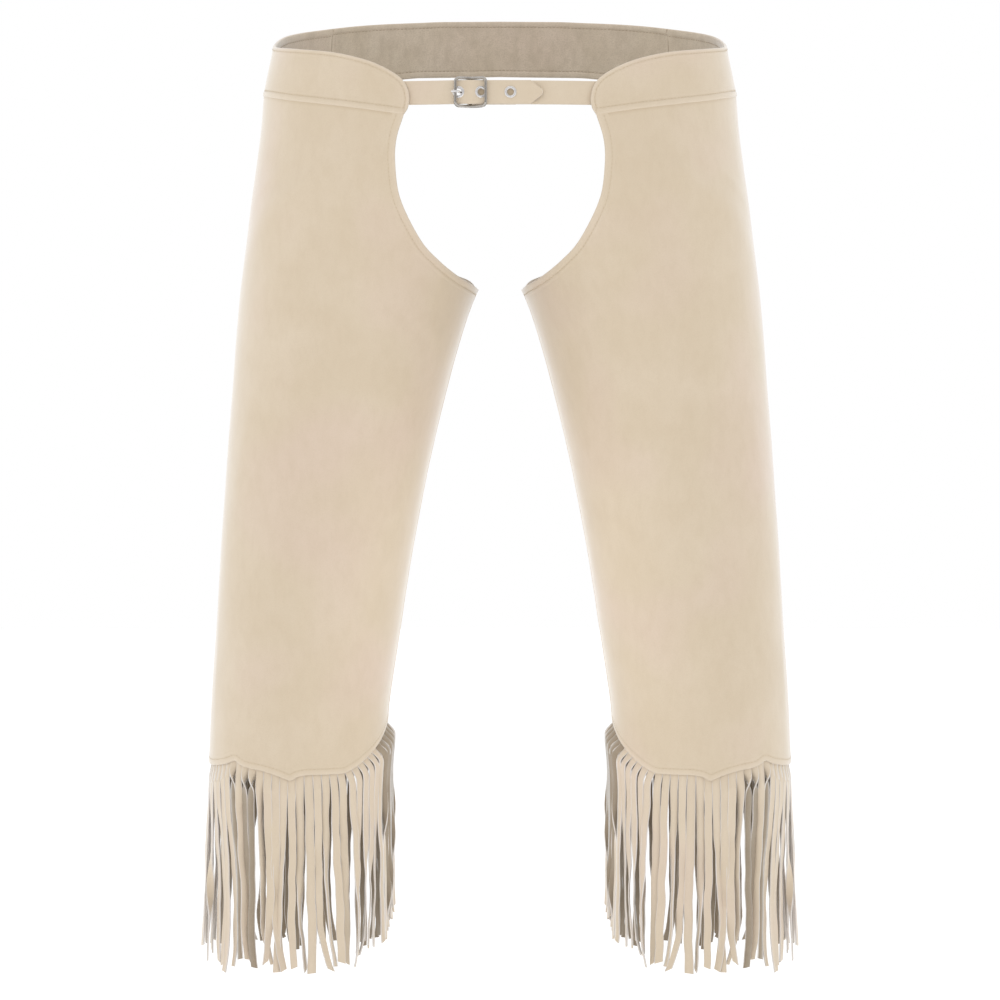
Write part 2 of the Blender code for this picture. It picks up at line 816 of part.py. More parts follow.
def buckle_strap():
    """The strap folded round the buckle's centre bar, slotted there for the prong."""
    start = route([(x, y, 0) for x, y in BUCKLE_STRAP_PATH], 2)
    fold = []
    for k in range(8):
        turn = math.radians(75 + 30 * k * 0.98)
        fold.append(Vector((
            BUCKLE_CENTRE + FOLD_RADIUS * math.cos(turn),
            BAR_DEPTH + FOLD_RADIUS * math.sin(turn),
            0,
        )))
    back = route([(x, y, 0) for x, y in BUCKLE_STRAP_RETURN], 2)
    path = start + fold + back
    strap = add_strap("strap_buckle", path, [STRAP_WIDTH / 2] * len(path))
    length, height = PRONG_SLOT
    middle = BUCKLE_CENTRE - 0.4
    bpy.ops.mesh.primitive_cube_add(size=1)
    cutter = bpy.context.object
    centre = strap_point(middle, BAR_DEPTH)
    for vertex in cutter.data.vertices:
        vertex.co = (
            (vertex.co.x * length + centre.x) * MM,
            (vertex.co.y * 11 + centre.y) * MM,
            (vertex.co.z * height + centre.z) * MM,
        )
    join_solids(strap, [cutter], "DIFFERENCE")


def frame_depth(across):
    """The frame is bowed: its ends stand forward of the centre bar."""
    share = abs(across - BUCKLE_CENTRE) / BUCKLE_HALF_WIDTH
    return BAR_DEPTH + 1.0 + (FRAME_DEPTH - BAR_DEPTH - 1.0) * min(share, 1.0) ** 1.7


def buckle_frame():
    """A rounded rectangle of wire with a bar across its middle."""
    straight_x = BUCKLE_HALF_WIDTH - BUCKLE_CORNER
    straight_z = BUCKLE_HALF_HEIGHT - BUCKLE_CORNER
    outline = []
    for cx, cz, start in ((1, 1, 0), (-1, 1, 90), (-1, -1, 180), (1, -1, 270)):
        for turn in (0, 30, 60, 90):
            angle = math.radians(start + turn)
            outline.append((
                cx * straight_x + BUCKLE_CORNER * math.cos(angle),
                cz * straight_z + BUCKLE_CORNER * math.sin(angle),
            ))
        if start in (0, 180):
            for share in (0.6, 0.2, -0.2, -0.6):
                outline.append((cx * straight_x * share, cz * BUCKLE_HALF_HEIGHT))
    centres = []
    for x, z in outline:
        across = BUCKLE_CENTRE + x
        centres.append(strap_point(across, frame_depth(across), z))
    frame = add_tube("buckle_frame", centres, [FRAME_RADIUS] * len(centres), 8, "metal", closed=True)
    ends = [strap_point(BUCKLE_CENTRE, frame_depth(BUCKLE_CENTRE), s * BUCKLE_HALF_HEIGHT) for s in (-1, 1)]
    middle = [strap_point(BUCKLE_CENTRE, BAR_DEPTH, s * BUCKLE_HALF_HEIGHT * 0.86) for s in (-1, 1)]
    bar = add_tube("bar", [ends[0], middle[0], middle[1], ends[1]], [BAR_RADIUS] * 4, 8, "metal")
    join_solids(frame, [bar])


def buckle_prong():
    """A wire ring on the centre bar with its tongue through the eyelet, over the frame."""
    centre = strap_point(BUCKLE_CENTRE, BAR_DEPTH)
    ring = []
    for k in range(14):
        turn = 2 * math.pi * k / 14
        ring.append(centre + Vector((math.cos(turn), -math.sin(turn), 0)) * FOLD_RADIUS)
    loop = add_tube("buckle_prong", ring, [PRONG_RADIUS] * len(ring), 8, "metal", closed=True)
    path = [strap_point(p.x, p.y) for p in route([(x, y, 0) for x, y in PRONG_PATH], 2)]
    radii = [PRONG_RADIUS - 0.2 * smooth_step((i / (len(path) - 1) - 0.7) / 0.3) for i in range(len(path))]
    tongue = add_tube("tongue", path, radii, 8, "metal")
    join_solids(loop, [tongue])


# ---------------------------------------------------------------- the whole part

for old in list(bpy.data.objects):
    bpy.data.objects.remove(old)

MATERIALS = {
    "suede": material("suede", (0.72, 0.62, 0.46), 0.9),
    "suede_inside": material("suede_inside", (0.48, 0.40, 0.31), 0.95),
    "metal": material("metal", (0.78, 0.78, 0.79), 0.25, 1.0),
}

back_waistband()
for number, wearer_side in enumerate(SIDES):
    yoke(wearer_side)
    for is_front in (True, False):
        leg_panel(wearer_side, is_front)
        fringe(wearer_side, is_front, seed=11 if is_front else 12)
tip_strap()
eyelets()
buckle_strap()
buckle_frame()
buckle_prong()
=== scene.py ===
"""Looks of the knee-length suede chaps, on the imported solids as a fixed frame.

Sizes and tables are in millimetres and points become metres as they enter a mesh. +Z is up,
the front faces -Y and the origin is the centre of the waist ring. "left" and "right" are the
wearer's, so the left leg is at +X. One surface, `cloth`, carries every sewn piece, as in the
solids: a place on it is a polar angle about the leg's section (0 at the outseam, 90 at the
front, 180 at the inseam, -90 at the back), a height, and how far it is moved out of the
cloth's outer face. Every turned edge is a strip that wraps the edge, with its row of stitches
sunk in a groove.
"""

import math
import random

import bmesh
import bpy
import numpy as np
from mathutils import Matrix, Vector, noise


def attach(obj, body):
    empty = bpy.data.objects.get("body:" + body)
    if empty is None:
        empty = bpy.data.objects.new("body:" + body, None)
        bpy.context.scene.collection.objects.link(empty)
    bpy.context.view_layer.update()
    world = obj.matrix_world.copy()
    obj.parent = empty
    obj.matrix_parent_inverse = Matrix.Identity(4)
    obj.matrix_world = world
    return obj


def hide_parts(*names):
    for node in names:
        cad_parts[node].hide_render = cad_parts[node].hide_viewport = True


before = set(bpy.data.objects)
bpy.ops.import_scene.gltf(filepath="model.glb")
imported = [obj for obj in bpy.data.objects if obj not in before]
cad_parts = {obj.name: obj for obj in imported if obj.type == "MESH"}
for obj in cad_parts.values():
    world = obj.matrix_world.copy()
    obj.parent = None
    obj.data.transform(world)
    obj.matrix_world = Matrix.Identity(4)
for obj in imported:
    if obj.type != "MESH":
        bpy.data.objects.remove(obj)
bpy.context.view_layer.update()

MM = 0.001
SIDES = {"left": 1, "right": -1}
OUTER, INNER, RAW = range(3)  # the finishes of a piece: its face, its inner face, its cut edge

# Walls, as in the solids
LEG_WALL = 1.6
YOKE_WALL = 2.2
BAND_WALL = 2.4
STRAP_WALL = 1.6
HALF_GAP = 0.15  # half the gap between two sewn pieces
SEAM_TURN = 0.1  # the same at an upright seam, in degrees
PANEL_DROP = 0.15  # how much lower a leg starts than half a gap under its yoke
HIP_LAP = 1.6  # how far a leg reaches up into the fold of its yoke
EDGE_INSET = 2.4  # how far a wall stops short inside its turned edge

BAND_SEAM_ANGLE = -33.0
NOSE_TOP = -16.3
NOSE_LOW = -48.0
# A place well inside each piece, as angle and height, which its edges are turned in towards
IN_LEG, IN_YOKE, IN_BAND = (80.0, -330.0), (30.0, -15.0), (-60.0, 30.0)

# Rows and columns of the walls, and steps along their edges
LEG_ROWS = 140
YOKE_ROWS = 20
YOKE_COLUMNS = 76
BAND_COLUMNS = 56  # from its seam to the middle of the back
HIP_COLUMNS = 36
CUT_STEP = 3.0  # between a leg's columns along its cut-out
FRONT_FAN, BACK_FAN = 50.0, 24.0  # the angle where the cut-out's corner column meets the hem
EDGE_STEP, HEM_STEP, SEAM_STEP = 2.5, 2.0, 3.0

# Sewing
STITCH_PITCH = 3.1
STITCH_LENGTH = 2.35
THREAD_RADIUS = 0.24
SUNK = 0.05  # how far a stitch's middle stands out of the cloth
# Turned edges: from the edge to its row of stitches, and how far the hem between puffs out
CUT_HEM, CUT_PUFF = 5.2, 0.3
LOW_HEM, LOW_PUFF = 4.3, 0.16
OUTSEAM, OUTSEAM_PUFF = 3.6, 0.34
INSEAM, INSEAM_PUFF = 2.6, 0.26
RIM, RIM_PUFF = 2.8, 0.22
YOKE_FOLD, FOLD_PUFF = 4.9, 0.85
BAND_LOW, BAND_PUFF = 3.4, 0.35
BAND_SEAM, BAND_SEAM_PUFF = 2.6, 0.3
SEAM_LIP = 0.02  # how far a seam's edge reaches into its gap
TOP_FACING = 4.6  # width of the facing inside the band, along its top edge
LOW_FACING = 5.2  # and along its lower edge
YOKE_FACING = 5.8  # and inside a yoke, along its rim
SEAM_FACING = 4.0  # and along its seam
FLAT_FACING = 0.1  # how far a facing that lies flat stands off the inner face
SUEDE_BLOOM = 1.0  # weight of the nap's sheen

# Fringe
STRAND_PITCH = 6.95
STRAND_LENGTH = 153.0
STRAND_THICKNESS = 1.1
HEADER_HEIGHT = 7.0
HEADER_OUT = -2.4  # middle of the fringe strip's thickness, behind the panel
SLIT = 0.35  # between two strands
BEND_LENGTH = 14.0  # over which a strand turns from square to the hem to straight down
SPLAY = 6.0  # how far strands stand off the hem at the inner corner
HANG = 3.4  # and how far they still do below it
FLARE = 4.0  # how far the fringe spreads at its ends
SIDE_TRIM = 11.0  # how much shorter the strands are at the outer side
INSEAM_TRIM = 5.0  # and at the inner corner
PART_WIDTH = 14.0  # how far from a parting strands are still drawn aside
TURN_LENGTH = 24.0  # over which a strand turns that turns a little
TURN_SLOWNESS = 0.2  # and how much longer that is for each degree
CURL_FROM = 0.78  # share of a strand's length where its curl starts
UNRULY, OWN_UNRULY = 1.6, 1.3  # how far strands wander, and those that hang in their own way
STRAND_WEAR = 0.6  # how rubbed strands are, which swing and brush each other

# Front strap and buckle
STRAP_HEIGHT = -31.3
STRAP_WIDTH = 18.3
TIP_SHOULDER = 23.5
TIP_END = 32.5
TIP_POINT = 1.8  # half width of the blunt point
BUCKLE_CENTRE = -22.5
BUCKLE_HALF_WIDTH = 11.6
BUCKLE_HALF_HEIGHT = 10.75
BUCKLE_CORNER = 3.2
FRAME_RADIUS = 1.2
BAR_RADIUS = 1.2
BAR_DEPTH = -2.0
FRAME_DEPTH = 4.2
FOLD_RADIUS = 2.3
PRONG_RADIUS = 0.95
PRONG_SLOT = (9.5, 3.4)
EYELET_PLACES = (-31.6, -14.5, 8.0)
EYELET_HOLE = 2.6
EYELET_BARREL = 3.1
EYELET_RIM = 4.6
FLANGE_LIFT, FLANGE_HEIGHT = 0.12, 0.62  # how far a flange stands off, and its own height

# Horizontal sections. columns: height, outer, centre, front, back, squareness
SECTIONS = (
    (62.0, 175.5, 0.0, 121.0, 125.0, 2.5),
    (20.0, 180.4, 0.0, 123.5, 126.0, 2.5),
    (-20.0, 188.0, 2.0, 123.5, 126.0, 2.5),
    (-48.0, 190.3, 16.0, 122.5, 126.0, 2.5),
    (-80.0, 194.5, 48.2, 120.0, 124.5, 2.4),
    (-110.0, 199.0, 80.2, 116.0, 121.0, 2.3),
    (-140.0, 202.5, 98.2, 111.0, 116.5, 2.25),
    (-174.4, 206.5, 112.0, 105.0, 110.0, 2.2),
    (-230.0, 211.7, 124.0, 97.0, 100.5, 2.15),
    (-302.0, 217.1, 135.6, 90.0, 92.0, 2.1),
    (-382.0, 222.5, 146.2, 84.5, 86.0, 2.1),
    (-462.0, 227.5, 155.1, 81.0, 82.0, 2.1),
    (-515.0, 230.7, 160.1, 80.0, 80.5, 2.1),
    (-566.0, 233.1, 161.6, 79.5, 79.5, 2.1),
)
# Soft folds of the solids. columns: angle, height, half_length, half_width, slant, rise
FOLDS = (
    (48.0, -102.0, 62.0, 13.0, 40.0, 1.6),
    (66.0, -160.0, 70.0, 24.0, 24.0, -1.6),
    (112.0, -405.0, 75.0, 17.0, -30.0, 1.8),
    (60.0, -330.0, 110.0, 22.0, 12.0, -1.8),
    (100.0, -480.0, 60.0, 20.0, -20.0, -1.5),
    (-62.0, -128.0, 70.0, 16.0, -35.0, 2.0),
    (-100.0, -250.0, 80.0, 20.0, 30.0, -2.2),
    (-70.0, -345.0, 60.0, 16.0, 62.0, 2.2),
    (-104.0, -395.0, 60.0, 16.0, -58.0, 2.0),
    (-80.0, -470.0, 70.0, 20.0, 15.0, -1.8),
)
# Finer creases of the suede, with the same columns
CREASES = (
    (34.0, -88.0, 34.0, 5.0, 48.0, 0.5),
    (70.0, -116.0, 40.0, 6.0, 35.0, 0.45),
    (120.0, -196.0, 34.0, 5.0, -62.0, 0.5),
    (128.0, -214.0, 30.0, 4.5, -58.0, -0.45),
    (92.0, -432.0, 42.0, 6.0, -38.0, 0.5),
    (118.0, -452.0, 38.0, 5.5, -30.0, 0.5),
    (40.0, -300.0, 60.0, 8.0, 10.0, 0.4),
    (24.0, -470.0, 55.0, 8.0, -8.0, 0.45),
    (-70.0, -322.0, 40.0, 7.0, 66.0, 0.6),
    (-84.0, -338.0, 46.0, 6.5, 74.0, -0.5),
    (-98.0, -372.0, 42.0, 7.0, -68.0, 0.6),
    (-50.0, -108.0, 44.0, 9.0, -40.0, 0.5),
    (-128.0, -210.0, 36.0, 7.0, 60.0, 0.5),
    (-40.0, -430.0, 60.0, 8.0, 12.0, 0.5),
)
CREASE_RADIUS = 90.0  # turns degrees into distance round the leg, in both tables
# Slight unevenness of the suede. columns: rise, wave length, seed
UNEVENNESS = ((0.55, 70.0, 1), (0.16, 22.0, 2))
# Edges round the hip. columns: bearing from the origin, height
TOP_EDGE = (
    (55.3, -16.3), (52.3, -11.5), (46.5, -4.7), (37.2, 2.3), (26.8, 7.2), (12.6, 14.3),
    (0.0, 22.8), (-7.9, 29.6), (-15.3, 35.8), (-26.7, 43.6), (-41.6, 51.7), (-50.0, 54.5),
    (-58.9, 56.3), (-70.0, 57.8), (-90.0, 58.3),
)
LOWER_EDGE = (
    (57.2, -48.0), (37.7, -38.8), (27.3, -33.5), (14.0, -26.0), (0.0, -20.0), (-15.0, -13.0),
    (-30.0, -5.0), (-42.0, 2.0), (-51.5, 7.6), (-62.0, 10.8), (-90.0, 12.2),
)
# Rounded front end of a yoke. columns: share of the way down, place across
NOSE = ((0.0, 81.0), (0.17, 74.8), (0.42, 70.6), (0.64, 69.6), (0.83, 70.6), (1.0, 73.8))
# Cut-out edges, from the waist down to the crotch. columns: across, height
FRONT_CUT = (
    (73.8, -48.0), (79.2, -66.0), (80.3, -86.0), (76.2, -112.7), (61.0, -142.8),
    (46.7, -158.0), (32.2, -168.4), (20.6, -173.4), (17.6, -174.4),
)
SEAT_CUT = (
    (93.0, 7.1), (96.5, -29.0), (97.0, -59.0), (91.0, -92.0), (72.0, -125.0),
    (55.0, -143.0), (36.0, -157.0), (24.0, -164.0), (17.6, -173.6),
)
# Scalloped hem, outseam to inseam. columns: angle, height, corner
HEM = (
    (0.0, -550.6, False),
    (24.0, -551.6, False),
    (43.6, -549.2, False),
    (53.3, -545.5, True),
    (60.6, -550.0, False),
    (71.8, -552.6, False),
    (80.0, -555.6, False),
    (89.0, -560.5, True),
    (93.6, -557.0, False),
    (99.7, -555.8, False),
    (119.1, -555.6, False),
    (128.4, -551.5, False),
    (139.4, -544.0, False),
    (154.5, -533.5, False),
    (167.3, -524.5, False),
    (180.0, -517.5, False),
)
# Partings of the fringe. columns: front, back, opens, aside
PARTINGS = (
    (185.6, 198.0, 0.10, 2.0),
    (150.5, 160.0, 0.62, 2.2),
    (128.9, 137.0, 0.42, 2.6),
    (114.0, 121.2, 0.78, 2.4),
)
# Strands that hang in their own way, counted from the inseam. Half way down and at its end
# a strand is drawn `middle` and `end` aside, away from the wearer's middle plane. It turns by
# `turn` degrees from `start` down, and back again from `stop`. `trim` changes its length.
# columns: number, middle, end, turn, start, stop, trim
HEM_TOP, NEVER = -99.0, 999.0
FRONT_STRANDS = (
    (0, 0.0, -0.5, 170.0, HEM_TOP, 40.0, 0.0),
    (1, 0.0, -0.5, 165.0, HEM_TOP, 60.0, 0.0),
    (2, 0.0, -1.0, 160.0, HEM_TOP, 80.0, 0.0),
    (3, 0.0, -1.5, 165.0, HEM_TOP, 90.0, -3.0),
    (4, 0.0, -2.5, 172.0, HEM_TOP, 95.0, -1.0),
    (5, 0.0, -1.0, 150.0, HEM_TOP, 30.0, 2.0),
    (6, 0.0, -1.0, 0.0, 0.0, NEVER, 0.0),
    (7, 0.0, 1.4, 25.0, 40.0, NEVER, 0.0),
    (8, 0.8, 2.4, 40.0, 70.0, NEVER, -4.0),
    (9, -0.5, 3.2, 50.0, 60.0, NEVER, -2.0),
    (10, 1.5, 4.0, 20.0, 60.0, NEVER, -6.0),
    (11, -2.5, 0.4, 48.0, 70.0, NEVER, 0.0),
    (12, -1.5, -2.5, 0.0, 0.0, NEVER, -5.0),
    (13, -2.0, -3.0, -14.0, 80.0, NEVER, -7.0),
    (14, -0.6, -3.4, 50.0, 40.0, NEVER, -4.0),
    (15, -0.3, -4.6, 25.0, 90.0, NEVER, -2.0),
    (16, -1.4, -1.2, 0.0, 0.0, NEVER, 0.0),
    (17, 0.0, -4.0, 66.0, 70.0, NEVER, -3.0),
    (18, 0.0, -1.8, 8.0, 60.0, NEVER, -8.0),
    (19, 2.0, 5.0, -40.0, 40.0, 110.0, -3.0),
    (20, -0.6, -4.0, 35.0, 60.0, NEVER, -2.0),
    (21, -2.8, -0.8, 55.0, 95.0, NEVER, -6.0),
    (22, -2.6, -1.6, 66.0, 0.0, 110.0, -2.0),
    (23, -1.0, -1.8, 178.0, -2.0, NEVER, 1.0),
    (24, -3.4, -4.6, 172.0, -2.0, NEVER, 0.0),
    (25, -4.5, -6.0, 60.0, 10.0, NEVER, 0.0),
    (26, -5.4, -6.6, 176.0, -2.0, NEVER, 1.0),
    (27, -4.8, -6.0, 0.0, 0.0, NEVER, 6.0),
    (28, -5.0, -5.8, 0.0, 0.0, NEVER, 10.0),
    (29, -4.3, -5.5, 0.0, 0.0, NEVER, 6.0),
    (30, -3.3, -4.9, 0.0, 0.0, NEVER, 5.0),
    (31, -0.6, -3.4, 160.0, 70.0, NEVER, 5.0),
    (32, -0.5, -2.0, 0.0, 0.0, NEVER, 2.0),
    (33, 1.0, -1.0, 0.0, 0.0, NEVER, 0.0),
    (34, 1.0, 0.0, 0.0, 0.0, NEVER, 0.0),
)
BACK_STRANDS = (
    (9, -0.5, -1.0, 0.0, 0.0, NEVER, 0.0),
    (10, 1.5, 4.5, 0.0, 0.0, NEVER, 0.0),
    (11, -0.5, -1.0, 0.0, 0.0, NEVER, 2.0),
    (12, 2.0, 5.0, 14.0, 40.0, NEVER, -2.0),
    (14, -2.6, -4.0, 20.0, 30.0, NEVER, 0.0),
    (15, 1.0, 1.5, -12.0, 40.0, NEVER, -3.0),
    (17, -0.4, -1.2, 0.0, 0.0, NEVER, 0.0),
    (18, 1.5, 4.5, 15.0, 40.0, NEVER, -2.0),
    (21, -2.5, -3.0, 12.0, 30.0, NEVER, -6.0),
    (23, 1.2, 2.0, -10.0, 40.0, NEVER, 1.0),
    (24, 5.5, 5.0, 70.0, 0.0, NEVER, 0.0),
    (27, -1.0, -2.5, 20.0, 40.0, NEVER, 0.0),
    (28, 1.0, 1.5, 0.0, 0.0, NEVER, 0.0),
)
# Strands whose ends curl aside, in front and behind. columns: number, curl
CURLED_STRANDS = (
    (8, 2.0), (9, 3.0), (11, 2.0), (14, -3.0), (15, -5.5), (20, -3.0), (22, -9.0), (23, -3.2),
    (24, -4.0), (25, -3.5), (26, -5.0), (30, -2.0),
)
# Middle of the tip strap's thickness. columns: across, depth
TIP_STRAP_PATH = (
    (-92.0, -1.15), (-70.0, -1.15), (-52.0, -0.9), (-41.0, -0.1), (-33.9, 0.6), (-27.5, 1.5),
    (-22.5, 2.25), (-17.5, 1.5), (-11.0, 0.8), (0.0, 0.8), (12.0, 0.8), (23.5, 1.3), (32.5, 2.9),
)
# Middle of the buckle strap's thickness, to the fold and back. columns: across, depth
BUCKLE_STRAP_PATH = (
    (92.0, -1.15), (70.0, -1.15), (40.0, -1.15), (10.0, -1.15), (-11.0, -1.15), (-17.0, -0.45),
)
BUCKLE_STRAP_RETURN = ((-17.0, -3.9), (-10.0, -3.1), (2.0, -3.05), (12.0, -3.05))
# Middle of the prong, through the eyelet and over the frame. columns: across, depth
PRONG_PATH = (
    (-24.6, -2.2), (-27.4, -2.2), (-29.6, -1.7), (-30.7, -0.3), (-31.1, 1.8), (-31.2, 4.1),
    (-32.3, 6.0), (-34.4, 6.5), (-37.2, 5.8),
)

CAMERA_DISTANCE = 2600.0
CAMERA_HEIGHT = -342.4
PICTURE_WIDTH = 800.0
FLOOR_HEIGHT = -800.0
FLOOR_RADIUS = 9.0  # in metres
WHITE, COOL = (1.0, 1.0, 1.0), (0.86, 0.93, 1.0)
# Lamps of the studio, in metres. Each faces the garment's middle at the height `aim`.
# columns: name, place, aim, width, height, watts, colour
LAMPS = (
    ("soft_key", (-0.9, -2.6, 1.1), -0.34, 1.6, 1.6, 5.0, WHITE),
    ("left_panel", (1.9, 0.5, -0.2), -0.34, 1.2, 1.2, 3.7, COOL),
    ("right_panel", (-1.9, 0.5, -0.2), -0.34, 1.2, 1.2, 3.7, COOL),
    ("low_panel", (0.0, 0.4, -0.5), -0.34, 0.45, 0.45, 0.6, COOL),
    ("inner_strip", (0.0, -0.14, -0.46), -0.46, 0.04, 0.26, 0.07, COOL),
)


# ---------------------------------------------------------------- the cloth's surface


def smooth_step(t):
    """Eases from 0 to 1 as t goes from 0 to 1."""
    t = np.clip(t, 0.0, 1.0)
    return t * t * (3 - 2 * t)


def read_curve(table, x, column=1, corner_column=None):
    """The value in `column` at x, on a smooth curve through the table's rows."""
    rows = sorted(table)
    xs = np.array([row[0] for row in rows], float)
    ys = np.array([row[column] for row in rows], float)
    step = np.diff(xs)
    chord = np.diff(ys) / step
    before, after = chord[:-1], chord[1:]
    total = np.where(before + after == 0, 1.0, before + after)
    slope = np.where(before * after > 0, 2 * before * after / total, 0.0)
    first = np.concatenate((chord[:1], slope))
    last = np.concatenate((slope, chord[-1:]))
    for j, row in enumerate(rows):
        if corner_column and row[corner_column]:
            first[j], last[j - 1] = chord[j], chord[j - 1]
    x = np.clip(x, xs[0], xs[-1])
    i = np.clip(np.searchsorted(xs, x, "right") - 1, 0, len(step) - 1)
    t = (x - xs[i]) / step[i]
    return (
        (2 * t**3 - 3 * t**2 + 1) * ys[i]
        + (t**3 - 2 * t**2 + t) * step[i] * first[i]
        + (3 * t**2 - 2 * t**3) * ys[i + 1]
        + (t**3 - t**2) * step[i] * last[i]
    )


def rise_of(table, angle, height):
    """How far the ridges and troughs in a table push the cloth out. They die away at the
    seams and up at the hip."""
    rise = np.zeros(np.broadcast(angle, height).shape)
    for at_angle, at_height, half_length, half_width, slant, peak in table:
        across = np.radians(angle - at_angle) * CREASE_RADIUS
        up = height - at_height
        turn = math.radians(slant)
        along = up * math.cos(turn) + across * math.sin(turn)
        aside = across * math.cos(turn) - up * math.sin(turn)
        bump = peak * np.exp(-((along / half_length) ** 2) * 1.5 - (aside / half_width) ** 2)
        rise = rise + np.where(angle * at_angle < 0, 0.0, bump)
    ends = smooth_step(np.abs(angle) / 20) * smooth_step((180 - np.abs(angle)) / 25)
    return rise * ends * smooth_step((-50 - height) / 40)


def bare(side, angle, height):
    """Points of the cloth's outer face, in an array whose last axis is X, Y and Z."""
    angle, height = np.broadcast_arrays(np.asarray(angle, float), np.asarray(height, float))
    outer, centre, front, back, square = (read_curve(SECTIONS, height, k) for k in range(1, 6))
    depth = np.where(angle >= 0, front, back)
    cos, sin = np.cos(np.radians(angle)), np.sin(np.radians(angle))
    reach = np.abs(cos / (outer - centre)) ** square + np.abs(sin / depth) ** square
    radius = reach ** (-1 / square) + rise_of(FOLDS, angle, height)
    return np.stack((side * (centre + radius * cos), -radius * sin, height), -1)


def unit(vectors):
    """The same directions, each 1 long."""
    return vectors / np.linalg.norm(vectors, axis=-1, keepdims=True)


def slopes(side, angle, height):
    """How the surface moves with the angle and with the height, and its outward normal."""
    turn, rise = 0.4, 1.0
    round_it = (bare(side, angle + turn, height) - bare(side, angle - turn, height)) / (2 * turn)
    up_it = (bare(side, angle, height + rise) - bare(side, angle, height - rise)) / (2 * rise)
    return round_it, up_it, unit(np.cross(round_it, up_it) * -side)


def cloth(side, angle, height, out=0.0):
    """Points of the cloth, moved `out` of its outer face."""
    angle, height = np.asarray(angle, float), np.asarray(height, float)
    normal = slopes(side, angle, height)[2]
    return bare(side, angle, height) + normal * np.asarray(out, float)[..., None]


def angle_at(across, height, front):
    """The polar angle of the front or back of the cloth at a place across."""
    outer, centre, front_depth, back_depth, square = (
        read_curve(SECTIONS, height, k) for k in range(1, 6)
    )
    share = np.clip((across - centre) / (outer - centre), -1, 1)
    y = (front_depth if front else back_depth) * (1 - np.abs(share) ** square) ** (1 / square)
    angle = np.degrees(np.arctan2(y, across - centre))
    return angle if front else -angle


def edge_height(table, angle):
    """Height at polar angles of an edge that a table gives by bearing, closed in on."""
    height = np.zeros(np.shape(angle))
    for _ in range(5):
        point = bare(1, angle, height)
        height = read_curve(table, np.degrees(np.arctan2(-point[..., 1], point[..., 0])))
    return height


def hem_height(angle):
    """Height of the scalloped hem."""
    return read_curve(HEM, np.abs(angle), 1, 2)


def waves(points, size, seed):
    """Smooth noise from -1 to 1 at each point, with waves about `size` mm long."""
    flat = points.reshape(-1, 3) / size + seed * 17.3
    values = [noise.noise(Vector(p)) for p in flat]
    return np.array(values).reshape(points.shape[:-1])


def relief(angle, height):
    """The suede's fine creases and its slight unevenness, as a distance out. The firm hip
    pieces have a third of what the soft legs have."""
    points = bare(1, angle, height)
    soft = sum(rise * waves(points, size, seed) for rise, size, seed in UNEVENNESS)
    softness = 0.33 + 0.67 * smooth_step((-52 - height) / 60)
    return rise_of(CREASES, angle, height) + soft * softness


# ---------------------------------------------------------------- making meshes


class Maker:
    """Collects one piece's points and faces, with a finish for each face, and for each point how
    worn it is or, below zero, how much painted shade it has, and how its leather's tone differs."""

    def __init__(self):
        self.points, self.rubbed, self.tone = [], [], []
        self.faces, self.finish = [], []

    def loft(self, rings, finish, rubbed=0.0, tone=0.0, ladder=False, closed=False):
        """Joins closed rings of points in a row. The finish and the wear or painted shade may be
        given for each place on the ring. A ladder closes a long ring's ends with quads."""
        rings = np.asarray(rings, float)
        count, size = rings.shape[:2]
        start = len(self.points)
        self.points += list(rings.reshape(-1, 3) * MM)
        self.rubbed += list(np.broadcast_to(rubbed, (count, size)).reshape(-1))
        self.tone += [tone] * (count * size)
        finishes = np.broadcast_to(finish, size)
        for i in range(count if closed else count - 1):
            one, two = start + i * size, start + (i + 1) % count * size
            for k in range(size):
                m = (k + 1) % size
                self.faces.append((one + k, one + m, two + m, two + k))
                self.finish.append(int(finishes[k]))
        if closed:
            return
        for first in (start, start + (count - 1) * size):
            if ladder:
                caps = [(k, k + 1, size - 2 - k, size - 1 - k) for k in range(size // 2 - 1)]
            else:
                caps = [tuple(range(size))]
            for cap in caps:
                self.faces.append(tuple(first + k for k in cap))
                self.finish.append(int(finishes[0]))

    def build(self, name, materials, sharp=45.0):
        """Makes the piece's object. Its finishes are numbers of the materials."""
        mesh = bpy.data.meshes.new(name)
        mesh.from_pydata([tuple(p) for p in self.points], [], self.faces)
        mesh.polygons.foreach_set("material_index", self.finish)
        bm = bmesh.new()
        bm.from_mesh(mesh)
        bmesh.ops.recalc_face_normals(bm, faces=bm.faces)
        bm.to_mesh(mesh)
        bm.free()
        for label, values in (("rubbed", self.rubbed), ("tone", self.tone)):
            layer = mesh.attributes.new(label, "FLOAT", "POINT")
            layer.data.foreach_set("value", np.array(values, np.float32))
        mesh.shade_smooth()
        mesh.set_sharp_from_angle(angle=math.radians(sharp))
        for material in materials:
            mesh.materials.append(material)
        made = bpy.data.objects.new(name, mesh)
        bpy.context.scene.collection.objects.link(made)
        return made


def resample(points, step, *others):
    """Evenly spaced places along a line of points, with other values read at the same."""
    points = np.asarray(points, float)
    length = np.concatenate(([0], np.cumsum(np.linalg.norm(np.diff(points, axis=0), axis=1))))
    at = np.linspace(0, length[-1], max(2, int(round(length[-1] / step)) + 1))
    return [np.interp(at, length, values) for values in others]


